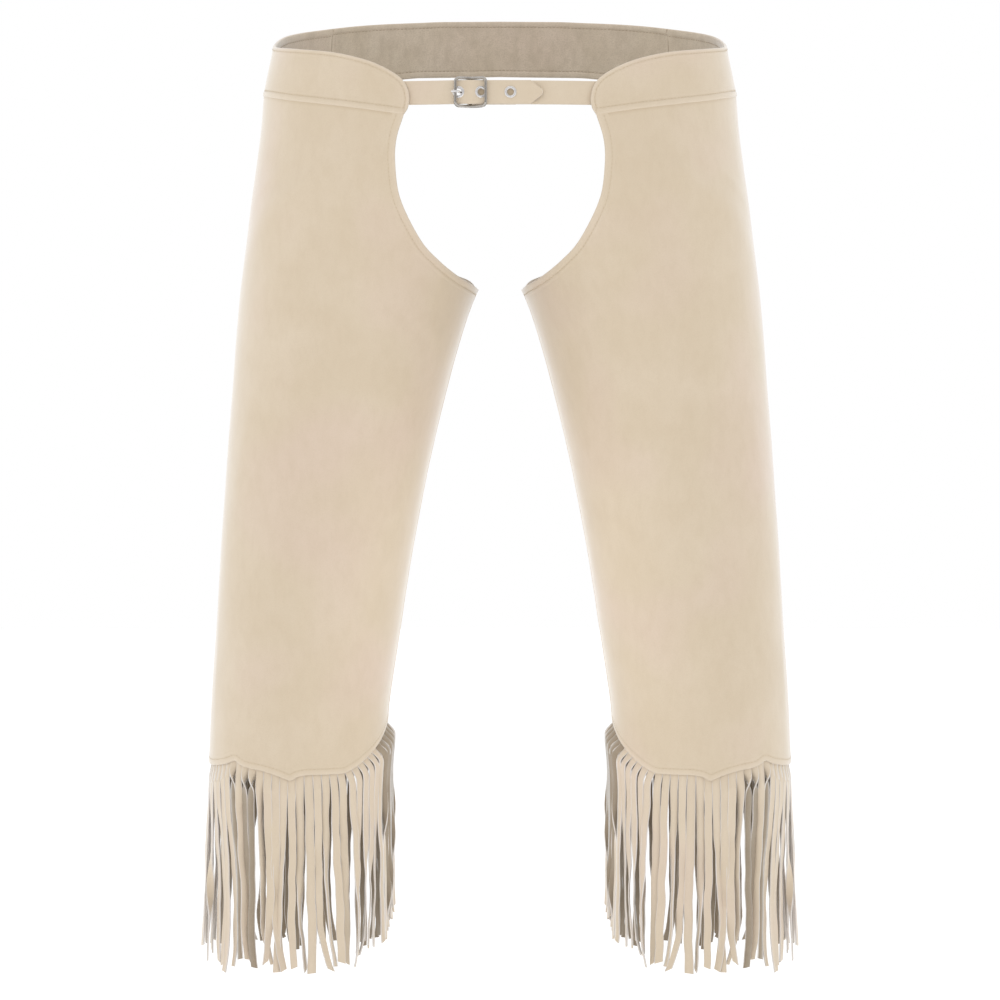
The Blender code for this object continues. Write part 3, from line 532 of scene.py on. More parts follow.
class Edge:
    """An edge of a sewn piece as a line on the cloth, and how to step off it."""

    def __init__(self, side, angles, heights, inside, step=EDGE_STEP):
        angles, heights = np.asarray(angles, float), np.asarray(heights, float)
        line = bare(side, angles, heights)
        self.side = side
        self.angles, self.heights = resample(line, step, angles, heights)
        line = bare(side, self.angles, self.heights)
        along = np.gradient(line, axis=0)
        behind, ahead = along[[0, *range(len(along) - 1)]], along[[*range(1, len(along)), -1]]
        along = unit(behind + 2 * along + ahead)
        round_it, up_it, normal = slopes(side, self.angles, self.heights)
        off = np.cross(normal, along)
        middle = len(line) // 2
        toward = bare(side, *inside) - line[middle]
        if np.dot(off[middle], toward) < 0:
            off = -off
        # the step in angle and height that moves a point 1 mm off the edge, on the cloth
        aa, ah = (round_it * round_it).sum(-1), (round_it * up_it).sum(-1)
        hh = (up_it * up_it).sum(-1)
        ar, hr = (round_it * off).sum(-1), (up_it * off).sum(-1)
        det = aa * hh - ah * ah
        self.by_angle = (hh * ar - ah * hr) / det
        self.by_height = (aa * hr - ah * ar) / det

    def at(self, distance, out):
        """The line that lies `distance` off the edge, inwards, and `out` of the cloth."""
        angles = self.angles + self.by_angle * distance
        heights = self.heights + self.by_height * distance
        return cloth(self.side, angles, heights, out + relief(angles, heights))


def edge_profile(width, puff, wall, inner_width=None, inner_puff=0.35, lip=0.25, drawn=1.0):
    """A turned and stitched edge as a closed loop of (distance, out, wear or painted shade):
    feather, groove for the stitches, puffed hem, round nose, then the turned-in leather on the
    inner face. The third value is wear where above zero and painted shade where below zero, in the
    stitch grooves. `drawn` is how hard the stitches are drawn in, which deepens their groove and
    its painted shade, and may be an array along the edge."""
    inner = width if inner_width is None else inner_width
    back = -wall - inner_puff
    groove = 0.1 - 0.18 * drawn
    return (
        (width + 4.6, -0.35, 0.0),
        (width + 3.0, 0.03, 0.0),
        (width + 1.6, 0.16, 0.1),
        (width + 0.8, 0.13, 0.1),
        # painted shade in the groove of the stitches
        (width + 0.3, groove, -0.2 * drawn),
        (width - 0.3, groove, -0.2 * drawn),
        (width - 0.8, puff * 0.45, 0.1),
        (width * 0.66, puff * 0.92, 0.3),
        (width * 0.4, puff, 0.4),
        (width * 0.18, puff * 0.85, 0.7),
        (0.3, puff * 0.45, 1.0),
        (-lip * 0.7, -wall * 0.2, 1.0),
        (-lip, -wall * 0.5, 0.7),
        (-lip * 0.7, -wall * 0.8, 0.4),
        (0.3, back + inner_puff * 0.5, 0.5),
        (inner * 0.2, back, 0.6),
        (inner * 0.6, back, 0.6),
        (inner - 0.8, back + inner_puff * 0.3, 0.4),
        # painted shade in the groove of the facing's stitches
        (inner - 0.25, -wall + 0.1, -0.7),
        (inner + 0.25, -wall + 0.1, -0.7),
        (inner + 0.9, -wall - 0.12, 0.0),
        (inner + 2.2, -wall + 0.05, 0.0),
        (inner + 3.4, -wall + 0.4, 0.0),
        (inner + 3.4, -wall * 0.5, 0.0),
    )


TURN_IN = 13  # the profile's place where it has come round to the inner face


def turned_edge(maker, edge, profile, inner_finish=OUTER):
    """A strip of the profile's section that wraps an edge of a sewn piece."""
    rings = np.stack([edge.at(distance, out) for distance, out, _ in profile], axis=1)
    finishes = [OUTER if k < TURN_IN else inner_finish for k in range(len(profile))]
    rubbed = [np.broadcast_to(value, len(rings)) for _, _, value in profile]
    maker.loft(rings, finishes, rubbed=np.stack(rubbed, axis=1))


def wall_rings(side, angles, heights, wall):
    """A wall of cloth as one ring of points for each column of angles and heights."""
    lift = relief(angles, heights)
    outer = cloth(side, angles, heights, lift)
    inner = cloth(side, angles, heights, lift - wall)
    return np.concatenate((outer, inner[:, ::-1]), axis=1)


def add_wall(maker, rings, tucked_shade=None):
    """Lofts a wall's rings, suede side out and flesh side in. Where a ring is tucked, its first row
    lies inside another piece's fold and is painted dark there, a painted shade under the fold."""
    rows = rings.shape[1] // 2
    rubbed = np.zeros(rings.shape[:2])
    if tucked_shade is not None:
        # painted shade under the yoke's fold
        rubbed[tucked_shade, 0] = -1.0
    maker.loft(rings, [OUTER] * rows + [INNER] * rows, rubbed=rubbed, ladder=True)


def hand_over(piece, node=None):
    """Attaches a finished piece to the root body, and hides the node it takes the place of."""
    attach(piece, "root")
    if node:
        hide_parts(node)


# ---------------------------------------------------------------- finishes


def colour(hex_value):
    """sRGB hex to linear red, green, blue and alpha."""
    parts = [int(hex_value[k : k + 2], 16) / 255 for k in (1, 3, 5)]
    return (*[p / 12.92 if p <= 0.04045 else ((p + 0.055) / 1.055) ** 2.4 for p in parts], 1.0)


def add(tree, kind, settings=None, links=None):
    """Adds a node. `settings` are its own values, `links` its inputs by name or number:
    a value, or an output to link from."""
    made = tree.nodes.new(kind)
    for name, value in (settings or {}).items():
        setattr(made, name, value)
    for name, value in (links or {}).items():
        socket = made.inputs[name]
        if isinstance(value, bpy.types.NodeSocket):
            tree.links.new(value, socket)
        else:
            socket.default_value = value
    return made


def new_material(name, roughness, sheen=0.0, metallic=0.0):
    """A material, its node tree and its shader."""
    made = bpy.data.materials.new(name)
    made.use_nodes = True
    tree = made.node_tree
    shader = tree.nodes["Principled BSDF"]
    shader.inputs["Roughness"].default_value = roughness
    shader.inputs["Metallic"].default_value = metallic
    shader.inputs["Sheen Weight"].default_value = sheen
    return made, tree, shader


def leather(name, base, pale, deep, blush, worn, contrast):
    """Split leather sanded to a nap. Real nap is 0.1 to 0.3 mm long, too fine to show, so it is
    drawn as 0.9 mm tufts; it lies in soft 8 mm strokes down the hide, and dye takes unevenly in 45
    and 90 mm clouds, some of them pinker. Where the point's wear value is above zero it is worn
    pale, and below zero it is painted deep, a painted shade. The surface is dry, with no gloss, and
    its fibres catch the light as a pale bloom where the leather turns away."""
    made, tree, shader = new_material(name, 0.95, sheen=SUEDE_BLOOM)
    place = add(tree, "ShaderNodeTexCoord").outputs["Object"]
    combed = add(tree, "ShaderNodeMapping", None, {"Vector": place, "Scale": (1.0, 1.0, 0.55)})
    textures = []
    for vector, scale, detail, roughness in (
        (place, 22.0, 3.0, 0.5),
        (place, 11.0, 1.0, 0.5),
        (combed.outputs[0], 125.0, 4.0, 0.6),
        (place, 1100.0, 2.0, 0.6),
    ):
        links = {"Vector": vector, "Scale": scale, "Detail": detail, "Roughness": roughness}
        textures.append(add(tree, "ShaderNodeTexNoise", None, links).outputs["Fac"])
    clouds, flush, strokes, tufts = textures
    tone = add(tree, "ShaderNodeAttribute", {"attribute_name": "tone"}).outputs["Fac"]
    rubbed = add(tree, "ShaderNodeAttribute", {"attribute_name": "rubbed"}).outputs["Fac"]
    skin = colour(base)
    for value, low, high, most, tint in (
        (clouds, 0.42, 0.72, 0.8, pale),
        (flush, 0.48, 0.7, 0.6, blush),
        (strokes, 0.42, 0.75, 0.35 * contrast, deep),
        (tufts, 0.4, 0.75, 0.4 * contrast, deep),
        (tone, 0.0, 1.0, 1.0, deep),
        (rubbed, 0.0, 1.0, 0.4, worn),
        # below zero: painted shade, in stitch grooves, rows tucked under a fold and the strap
        # behind eyelet holes
        (rubbed, 0.0, -1.0, 0.8, deep),
    ):
        share = add(
            tree, "ShaderNodeMapRange", {"clamp": True},
            {"Value": value, "From Min": low, "From Max": high, "To Min": 0.0, "To Max": most},
        )
        mix = add(
            tree, "ShaderNodeMix", {"data_type": "RGBA"},
            {0: share.outputs["Result"], 6: skin, 7: colour(tint)},
        )
        skin = mix.outputs[2]
    nap = add(
        tree, "ShaderNodeMath", {"operation": "MULTIPLY_ADD"}, {0: tufts, 1: 0.5, 2: strokes},
    )
    bump = add(
        tree, "ShaderNodeBump", None,
        {"Height": nap.outputs[0], "Strength": 0.5 * contrast, "Distance": 0.0004},
    )
    tree.links.new(skin, shader.inputs["Base Color"])
    tree.links.new(bump.outputs[0], shader.inputs["Normal"])
    shader.inputs["Sheen Roughness"].default_value = 0.4
    shader.inputs["Sheen Tint"].default_value = colour("#FFFFFF")
    shader.inputs["Specular IOR Level"].default_value = 0.2
    return made


SUEDE = leather("cream_suede", "#D0C0A9", "#D5C6B1", "#BEAB90", "#D3BFAF", "#DED1C0", 0.5)
# Flesh side for the legs' insides and the fringe: its own colour, painted darker than the same
# flesh side inside the hip pieces, a painted shade.
FLESH_AND_SHADE = leather("suede_flesh_side_and_painted_shade", "#978976", "#A19480", "#7A6D5B", "#9C8B7A", "#B0A291", 1.0)
LINING = leather("felted_waist_lining", "#CFC1AD", "#D5C9B7", "#B0A18C", "#D1BFAF", "#D7C9B5", 1.5)
CUT_EDGE = leather("suede_cut_edge", "#DAD3CC", "#DED8D2", "#C4BBB1", "#DBD1CB", "#E2DCD7", 0.6)


def thread_material(name, deep, pale):
    """Spun polyester thread: matt, a little darker than the leather that it sews, so a row
    of stitches reads as fine dashes."""
    made, tree, shader = new_material(name, 0.7, sheen=0.1)
    place = add(tree, "ShaderNodeTexCoord").outputs["Object"]
    fuzz = add(tree, "ShaderNodeTexNoise", None, {"Vector": place, "Scale": 1600.0})
    tint = add(
        tree, "ShaderNodeMix", {"data_type": "RGBA"},
        {0: fuzz.outputs["Fac"], 6: colour(deep), 7: colour(pale)},
    )
    tree.links.new(tint.outputs[2], shader.inputs["Base Color"])
    return made


def metal_material(name, base, roughness):
    """Nickel-plated steel: bright and a little warm, with hair scratches that blur its reflections
    unevenly. The base colour given is dimmed for painted shade or brightened for painted glints."""
    made, tree, shader = new_material(name, roughness, metallic=1.0)
    place = add(tree, "ShaderNodeTexCoord").outputs["Object"]
    drawn = add(tree, "ShaderNodeMapping", None, {"Vector": place, "Scale": (1.0, 1.0, 6.0)})
    hairs = add(
        tree, "ShaderNodeTexNoise", None,
        {"Vector": drawn.outputs[0], "Scale": 700.0, "Detail": 3.0},
    ).outputs["Fac"]
    shares = []
    for low, high, least, most in (
        (0.45, 0.75, 0.0, 0.5),
        (0.3, 0.7, roughness * 0.7, roughness * 1.6),
    ):
        share = add(
            tree, "ShaderNodeMapRange", {"clamp": True},
            {"Value": hairs, "From Min": low, "From Max": high, "To Min": least, "To Max": most},
        )
        shares.append(share.outputs["Result"])
    dulled, blurred = shares
    tint = add(
        tree, "ShaderNodeMix", {"data_type": "RGBA"},
        {0: dulled, 6: colour(base), 7: colour("#8B8884")},
    )
    bump = add(
        tree, "ShaderNodeBump", None, {"Height": hairs, "Strength": 0.15, "Distance": 0.0001},
    )
    tree.links.new(tint.outputs[2], shader.inputs["Base Color"])
    tree.links.new(blurred, shader.inputs["Roughness"])
    tree.links.new(bump.outputs[0], shader.inputs["Normal"])
    return made


THREAD = thread_material("spun_polyester_thread", "#BCAA8E", "#CFBFA4")
LINING_THREAD = thread_material("spun_lining_thread", "#9C8972", "#B09D85")
# Both are one nickel plate: the frame's base is dimmed as painted shade for dark reflections, the
# prong's and eyelets' base brightened as painted glints.
METAL = metal_material("nickel_plate_dimmed_for_painted_shade", "#B5B0AA", 0.2)
BRIGHT_METAL = metal_material("nickel_plate_brightened_for_painted_glints", "#F0EEEE", 0.34)


# ---------------------------------------------------------------- stitches


def socket_by_name(tree, name):
    """The identifier of a node group's input."""
    return next(
        item.identifier for item in tree.interface.items_tree
        if item.item_type == "SOCKET" and item.in_out == "INPUT" and item.name == name
    )


def stitch_tree():
    """A row of stitches along each line of edges: small round bars, thinner at both ends."""
    tree = bpy.data.node_groups.new("stitch_rows", "GeometryNodeTree")
    for name, kind in (
        ("Geometry", "Geometry"), ("Pitch", "Float"), ("Length", "Float"), ("Radius", "Float"),
        ("Seed", "Int"), ("Thread", "Material"),
    ):
        tree.interface.new_socket(name, in_out="INPUT", socket_type=f"NodeSocket{kind}")
    tree.interface.new_socket("Geometry", in_out="OUTPUT", socket_type="NodeSocketGeometry")
    given = add(tree, "NodeGroupInput").outputs
    curve = add(tree, "GeometryNodeMeshToCurve", None, {"Mesh": given["Geometry"]})
    dots = add(
        tree, "GeometryNodeCurveToPoints", {"mode": "LENGTH"},
        {"Curve": curve.outputs[0], "Length": given["Pitch"]},
    )
    half = add(tree, "ShaderNodeMath", {"operation": "MULTIPLY"}, {0: given["Length"], 1: 0.5})
    back = add(tree, "ShaderNodeMath", {"operation": "MULTIPLY"}, {0: half.outputs[0], 1: -1.0})
    start = add(tree, "ShaderNodeCombineXYZ", None, {"Z": back.outputs[0]})
    end = add(tree, "ShaderNodeCombineXYZ", None, {"Z": half.outputs[0]})
    bar = add(
        tree, "GeometryNodeCurvePrimitiveLine", None,
        {"Start": start.outputs[0], "End": end.outputs[0]},
    )
    bar = add(tree, "GeometryNodeResampleCurve", None, {"Curve": bar.outputs[0], "Count": 5})
    along = add(tree, "GeometryNodeSplineParameter").outputs["Factor"]
    phase = add(
        tree, "ShaderNodeMath", {"operation": "MULTIPLY_ADD"}, {0: along, 1: 2.5, 2: 0.32},
    )
    swell = add(tree, "ShaderNodeMath", {"operation": "SINE"}, {0: phase.outputs[0]})
    section = add(
        tree, "GeometryNodeCurvePrimitiveCircle", None,
        {"Resolution": 6, "Radius": given["Radius"]},
    )
    body = add(
        tree, "GeometryNodeCurveToMesh", None,
        {"Curve": bar.outputs[0], "Profile Curve": section.outputs[0],
         "Scale": swell.outputs[0], "Fill Caps": True},
    )
    jitter = add(
        tree, "FunctionNodeRandomValue", {"data_type": "FLOAT_VECTOR"},
        {"Min": (-0.07, -0.07, 0.0), "Max": (0.07, 0.07, 0.0), "Seed": given["Seed"]},
    )
    lie = add(
        tree, "FunctionNodeAlignRotationToVector", {"axis": "Z"},
        {"Vector": dots.outputs["Tangent"]},
    )
    turn = add(
        tree, "FunctionNodeRotateRotation", {"rotation_space": "LOCAL"},
        {"Rotation": lie.outputs[0], "Rotate By": jitter.outputs["Value"]},
    )
    placed = add(
        tree, "GeometryNodeInstanceOnPoints", None,
        {"Points": dots.outputs["Points"], "Instance": body.outputs[0],
         "Rotation": turn.outputs[0]},
    )
    real = add(tree, "GeometryNodeRealizeInstances", None, {"Geometry": placed.outputs[0]})
    smooth = add(tree, "GeometryNodeSetShadeSmooth", None, {"Geometry": real.outputs[0]})
    dyed = add(
        tree, "GeometryNodeSetMaterial", None,
        {"Geometry": smooth.outputs[0], "Material": given["Thread"]},
    )
    add(tree, "NodeGroupOutput", None, {"Geometry": dyed.outputs[0]})
    return tree


STITCH_ROWS = stitch_tree()


def sew(name, lines, seed=1, thread=THREAD):
    """One piece with a row of stitches along each of the lines, given in millimetres."""
    mesh = bpy.data.meshes.new(name + "_lines")
    points, edges = [], []
    for line in lines:
        start = len(points)
        points += [tuple(p * MM) for p in line]
        edges += [(start + k, start + k + 1) for k in range(len(line) - 1)]
    mesh.from_pydata(points, edges, [])
    row = bpy.data.objects.new(name, mesh)
    bpy.context.scene.collection.objects.link(row)
    rule = row.modifiers.new("stitches", "NODES")
    rule.node_group = STITCH_ROWS
    for label, value in (
        ("Pitch", STITCH_PITCH * MM), ("Length", STITCH_LENGTH * MM),
        ("Radius", THREAD_RADIUS * MM), ("Seed", seed), ("Thread", thread),
    ):
        rule[socket_by_name(STITCH_ROWS, label)] = value
    graph = bpy.context.evaluated_depsgraph_get()
    made = bpy.data.meshes.new_from_object(row.evaluated_get(graph))
    row.modifiers.clear()
    row.data = made
    bpy.data.meshes.remove(mesh)
    made.name = name
    hand_over(row)
    return row


# ---------------------------------------------------------------- legs


def route(points, steps):
    """Points on a Catmull-Rom curve through the given ones, `steps` to each span."""
    pts = np.asarray(points, float)
    pts = np.concatenate(([2 * pts[0] - pts[1]], pts, [2 * pts[-1] - pts[-2]]))
    out = []
    for a, b, c, d in zip(pts, pts[1:], pts[2:], pts[3:]):
        for k in range(steps):
            t = k / steps
            out.append(
                0.5 * (2 * b + (c - a) * t + (2 * a - 5 * b + 4 * c - d) * t**2
                       + (3 * b - a - 3 * c + d) * t**3)
            )
    return np.array(out + [pts[-2]])


def cut_edge(front, inset=0.0):
    """A cut-out edge as angles and heights, from the hip seam to the crotch."""
    line = route(FRONT_CUT if front else SEAT_CUT, 12)
    along = unit(np.gradient(line, axis=0))
    line = line + inset * np.stack((-along[:, 1], along[:, 0]), -1)
    return angle_at(line[:, 0], line[:, 1], front), line[:, 1]


def hip_edge(angle):
    """Height of a leg's top edge, under its yoke."""
    return edge_height(LOWER_EDGE, angle) - HALF_GAP - PANEL_DROP


def panel_grid(side, front):
    """Angles and heights of a leg panel's wall, and which of its columns start in the yoke's fold,
    where their first row gets painted shade. Columns start evenly along the hip seam and round the
    cut-out, and fan out down to the hem."""
    sign = 1 if front else -1
    cut_angle, cut_height = cut_edge(front, EDGE_INSET)
    cut_angle = np.append(cut_angle, sign * (180 - SEAM_TURN))
    cut_height = np.append(cut_height, cut_height[-1])
    line = bare(side, cut_angle, cut_height)
    cut_angle, cut_height = resample(line, CUT_STEP, cut_angle, cut_height)
    hip_angle = np.linspace(sign * SEAM_TURN, cut_angle[0], HIP_COLUMNS)
    corner = sign * (FRONT_FAN if front else BACK_FAN)
    from_hip = np.linspace(hip_angle[0], corner, HIP_COLUMNS)
    from_cut = np.linspace(corner, cut_angle[-1], len(cut_angle))
    low_angle = np.concatenate((from_hip, from_cut[1:]))[:, None]
    low = hem_height(low_angle) + EDGE_INSET
    top_angle = np.concatenate((hip_angle, cut_angle[1:]))[:, None]
    top = np.concatenate((hip_edge(hip_angle) + HIP_LAP, cut_height[1:]))[:, None]
    shares = np.linspace(0, 1, LEG_ROWS)
    angles = top_angle + (low_angle - top_angle) * shares
    return angles, top + (low - top) * shares, np.arange(len(top)) < HIP_COLUMNS


def straight_edge(side, angle, top, low, inside):
    """An upright seam edge."""
    heights = np.linspace(top, low, 200)
    return Edge(side, np.full(200, angle), heights, inside, step=SEAM_STEP)


def leg_panel(side_name, front):
    """Half of a leg: one piece of suede with its cut-out, hem and seam edges turned."""
    side, sign = SIDES[side_name], 1 if front else -1
    node = f"leg_{'front' if front else 'back'}_{side_name}"
    angles, heights, tucked_shade = panel_grid(side, front)
    maker = Maker()
    add_wall(maker, wall_rings(side, angles, heights, LEG_WALL), tucked_shade)

    cut_angle, cut_height = cut_edge(front)
    inside = (sign * IN_LEG[0], IN_LEG[1])
    hem_angles = sign * np.linspace(0.3, 179.7, 400)
    cut = Edge(side, cut_angle, cut_height, inside)
    hem = Edge(side, hem_angles, hem_height(hem_angles), inside, HEM_STEP)
    outseam = straight_edge(side, 0.0, hip_edge(0.0) - 0.3, hem_height(0.0) + 0.4, inside)
    crotch, low = cut_height[-1] - 0.5, hem_height(180.0) + 0.4
    inseam = straight_edge(side, sign * 180.0, crotch, low, inside)
    drawn = 0.2 + 0.8 * smooth_step((-105 - cut.heights) / 45)  # hardest near the crotch
    turned_edge(maker, cut, edge_profile(CUT_HEM, CUT_PUFF, LEG_WALL, drawn=drawn))
    turned_edge(maker, hem, edge_profile(LOW_HEM, LOW_PUFF, LEG_WALL, inner_puff=0.05))
    for seam, width, puff in ((outseam, OUTSEAM, OUTSEAM_PUFF), (inseam, INSEAM, INSEAM_PUFF)):
        turned_edge(maker, seam, edge_profile(width, puff, LEG_WALL, lip=SEAM_LIP), INNER)
    panel = maker.build(f"{node}_suede", (SUEDE, FLESH_AND_SHADE))
    rows = [
        cut.at(CUT_HEM, 0.5 * SUNK * (1 + drawn)), hem.at(LOW_HEM, SUNK),
        outseam.at(OUTSEAM, SUNK), cut.at(CUT_HEM, -LEG_WALL - SUNK),
    ]
    stitches = sew(f"{node}_stitches", rows, seed=3 if front else 4)
    hand_over(panel, node)


# ---------------------------------------------------------------- yokes and waistband


def yoke(side_name):
    """A hip yoke: turned top edge and nose, and a thick fold along its lower edge."""
    side = SIDES[side_name]
    seam_angle = BAND_SEAM_ANGLE + SEAM_TURN
    downs = np.linspace(0, 1, YOKE_ROWS)
    end_heights = NOSE_TOP + (NOSE_LOW - NOSE_TOP) * downs
    ends = angle_at(read_curve(NOSE, downs) + EDGE_INSET, end_heights, True)
    shares = np.linspace(0, 1, YOKE_COLUMNS)
    angles = ends + (seam_angle - ends) * shares[:, None]
    top = edge_height(TOP_EDGE, angles) - EDGE_INSET
    low = edge_height(LOWER_EDGE, angles) + HALF_GAP + EDGE_INSET
    maker = Maker()
    add_wall(maker, wall_rings(side, angles, top + (low - top) * downs, YOKE_WALL))

    nose_downs = np.linspace(0, 1, 60)
    nose_heights = NOSE_TOP + (NOSE_LOW - NOSE_TOP) * nose_downs
    nose = angle_at(read_curve(NOSE, nose_downs), nose_heights, True)
    round_top = np.linspace(seam_angle, nose[0], 160)
    edge_angles = np.concatenate((round_top, nose[1:]))
    edge_heights = np.concatenate((edge_height(TOP_EDGE, round_top), nose_heights[1:]))
    fold_angles = np.linspace(seam_angle, nose[-1], 160)
    rim = Edge(side, edge_angles, edge_heights, IN_YOKE, HEM_STEP)
    fold = Edge(side, fold_angles, edge_height(LOWER_EDGE, fold_angles) + HALF_GAP, IN_YOKE)
    seam = straight_edge(side, BAND_SEAM_ANGLE, top[-1][0] + 0.6, low[-1][0] - 1.8, IN_YOKE)
    drawn = 1 - 0.5 * smooth_step((rim.angles - 44) / 14)  # softer round the nose
    for edge, profile in (
        (rim, edge_profile(RIM, RIM_PUFF, YOKE_WALL, YOKE_FACING, drawn=drawn)),
        (fold, edge_profile(YOKE_FOLD, FOLD_PUFF, YOKE_WALL, inner_puff=FLAT_FACING)),
        (seam, edge_profile(
            BAND_SEAM, BAND_SEAM_PUFF, YOKE_WALL, SEAM_FACING, FLAT_FACING, SEAM_LIP,
        )),
    ):
        turned_edge(maker, edge, profile, INNER)
    piece = maker.build(f"yoke_{side_name}_suede", (SUEDE, LINING))
    rows = [rim.at(RIM, SUNK), fold.at(YOKE_FOLD, SUNK), seam.at(BAND_SEAM, SUNK)[1:-1]]
    stitches = sew(f"yoke_{side_name}_stitches", rows, seed=5)
    facing_row = [rim.at(YOKE_FACING, -YOKE_WALL - SUNK)]
    facing_stitches = sew(f"yoke_{side_name}_facing_stitches", facing_row, 7, LINING_THREAD)
    hand_over(piece, f"yoke_{side_name}")


def across_back(make_line):
    """A line or grid that runs over the middle of the back: the left half, then the right
    half turned round. `make_line` gives the half for a side."""
    left, right = make_line(1), make_line(-1)
    return np.concatenate((left, right[::-1][1:]))


def back_waistband():
    """One band across the small of the back, faced inside along both of its edges."""
    half = np.linspace(BAND_SEAM_ANGLE - SEAM_TURN, -90, BAND_COLUMNS)
    top = edge_height(TOP_EDGE, half)
    low = edge_height(LOWER_EDGE, half) + HALF_GAP
    shares = np.linspace(0, 1, YOKE_ROWS)
    heights = (top - EDGE_INSET)[:, None] + (low - top + 2 * EDGE_INSET)[:, None] * shares
    angles = np.repeat(half[:, None], YOKE_ROWS, 1)
    maker = Maker()
    add_wall(maker, across_back(lambda side: wall_rings(side, angles, heights, BAND_WALL)))
    edges = {}
    for side in SIDES.values():
        edges[side] = (Edge(side, half, top, IN_BAND), Edge(side, half, low, IN_BAND))
    rows, facing_rows = [], []
    for number, width, facing in ((0, RIM, TOP_FACING), (1, BAND_LOW, LOW_FACING)):
        profile = edge_profile(width, BAND_PUFF, BAND_WALL, facing)
        rings = across_back(
            lambda side: np.stack([edges[side][number].at(d, out) for d, out, _ in profile], axis=1)
        )
        finishes = [OUTER if k < TURN_IN else INNER for k in range(len(profile))]
        maker.loft(rings, finishes, rubbed=[p[2] for p in profile])
        rows.append(across_back(lambda side: edges[side][number].at(width, SUNK)))
        facing_rows.append(
            across_back(lambda side: edges[side][number].at(facing, -BAND_WALL - SUNK))
        )
    seam_profile = edge_profile(
        BAND_SEAM, BAND_SEAM_PUFF, BAND_WALL, inner_puff=FLAT_FACING, lip=SEAM_LIP,
    )
    for side in SIDES.values():
        seam = straight_edge(side, BAND_SEAM_ANGLE, top[0] - 1.8, low[0] + 0.5, IN_BAND)
        turned_edge(maker, seam, seam_profile, INNER)
        rows.append(seam.at(BAND_SEAM, SUNK)[1:-1])
    piece = maker.build("back_waistband_suede", (SUEDE, LINING))
    stitches = sew("back_waistband_stitches", rows, seed=6)
    facing_stitches = sew("back_waistband_facing_stitches", facing_rows, 8, LINING_THREAD)
    hand_over(piece, "back_waistband")


# ---------------------------------------------------------------- fringe


def strand_habits(count, seed, own):
    """How each strand hangs, as in the solids: its lean out, sway, twist and trim. Those in
    the table `own` hang in their own way."""
    draw = random.Random(seed)
    leans = (0.0, 3.2, -3.0, 1.6, -1.4)
    twists = (0, 14, -32, 0, -12, 30, 10, 0, -18, 0, 33, 0)
    habits = []
    for i in range(count):
        habits.append(
            {
                "lean": leans[i % len(leans)],
                "sway": draw.uniform(-0.3, 0.3),
                "twist": twists[i * 5 % len(twists)],
                "trim": draw.uniform(-3.0, 3.0),
            }
        )
    for habit in habits:
        habit["tone"] = draw.uniform(0.0, 0.12)
        habit["wide"] = draw.uniform(0.88, 1.06)
        habit["cup"] = draw.choice((-0.5, -0.3, 0.25, 0.45))
        habit["skew"] = draw.uniform(-2.2, 2.2)
        habit["taper"] = draw.choice((0.0, 0.0, 0.1, 0.2, 0.4))
    columns = ("middle", "end", "turn", "start", "stop", "trim")
    for number, *values in own:
        habits[number].update(zip(columns, values), twist=0.0, sway=0.0)
    for number, curl in CURLED_STRANDS:
        habits[number]["curl"] = curl
    return habits


def parted(across, front, share):
    """How far partings draw a strand sideways, away from the wearer's middle plane."""
    shift = np.zeros(len(share))
    for front_place, back_place, opens, aside in PARTINGS:
        off = across - (front_place if front else back_place)
        near = max(0.0, 1 - abs(off) / PART_WIDTH)
        shift += math.copysign(aside * near, off) * smooth_step((share - opens) / 0.35)
    return shift


# Outline of a strand's section: place across and through, as shares, from outer to inner face
STRAND_RING = (
    (-0.9, 1.0), (0.0, 1.0), (0.9, 1.0), (1.0, 0.0),
    (0.9, -1.0), (0.0, -1.0), (-0.9, -1.0), (-1.0, 0.0),
)
STRAND_FINISH = (OUTER, OUTER, RAW, RAW, INNER, INNER, RAW, RAW)


def bend(s, long, slope):
    """How far along the hem and down a strand has come at each place, and how it turns
    there, on its way from square to the hem's edge to straight down."""
    fine = np.linspace(0, long, 400)
    turn = slope * (1 - smooth_step(fine / BEND_LENGTH))
    step = fine[1]
    sideways = np.concatenate(([0], np.cumsum(np.sin(turn) * step)[:-1]))
    drop = np.concatenate(([0], np.cumsum(np.cos(turn) * step)[:-1]))
    sideways, drop = np.interp(s, fine, sideways), np.interp(s, fine, drop)
    sideways = np.where(s < 0, s * math.sin(slope), sideways)
    drop = np.where(s < 0, s * math.cos(slope), drop)
    return sideways, drop, slope * (1 - smooth_step(s / BEND_LENGTH))


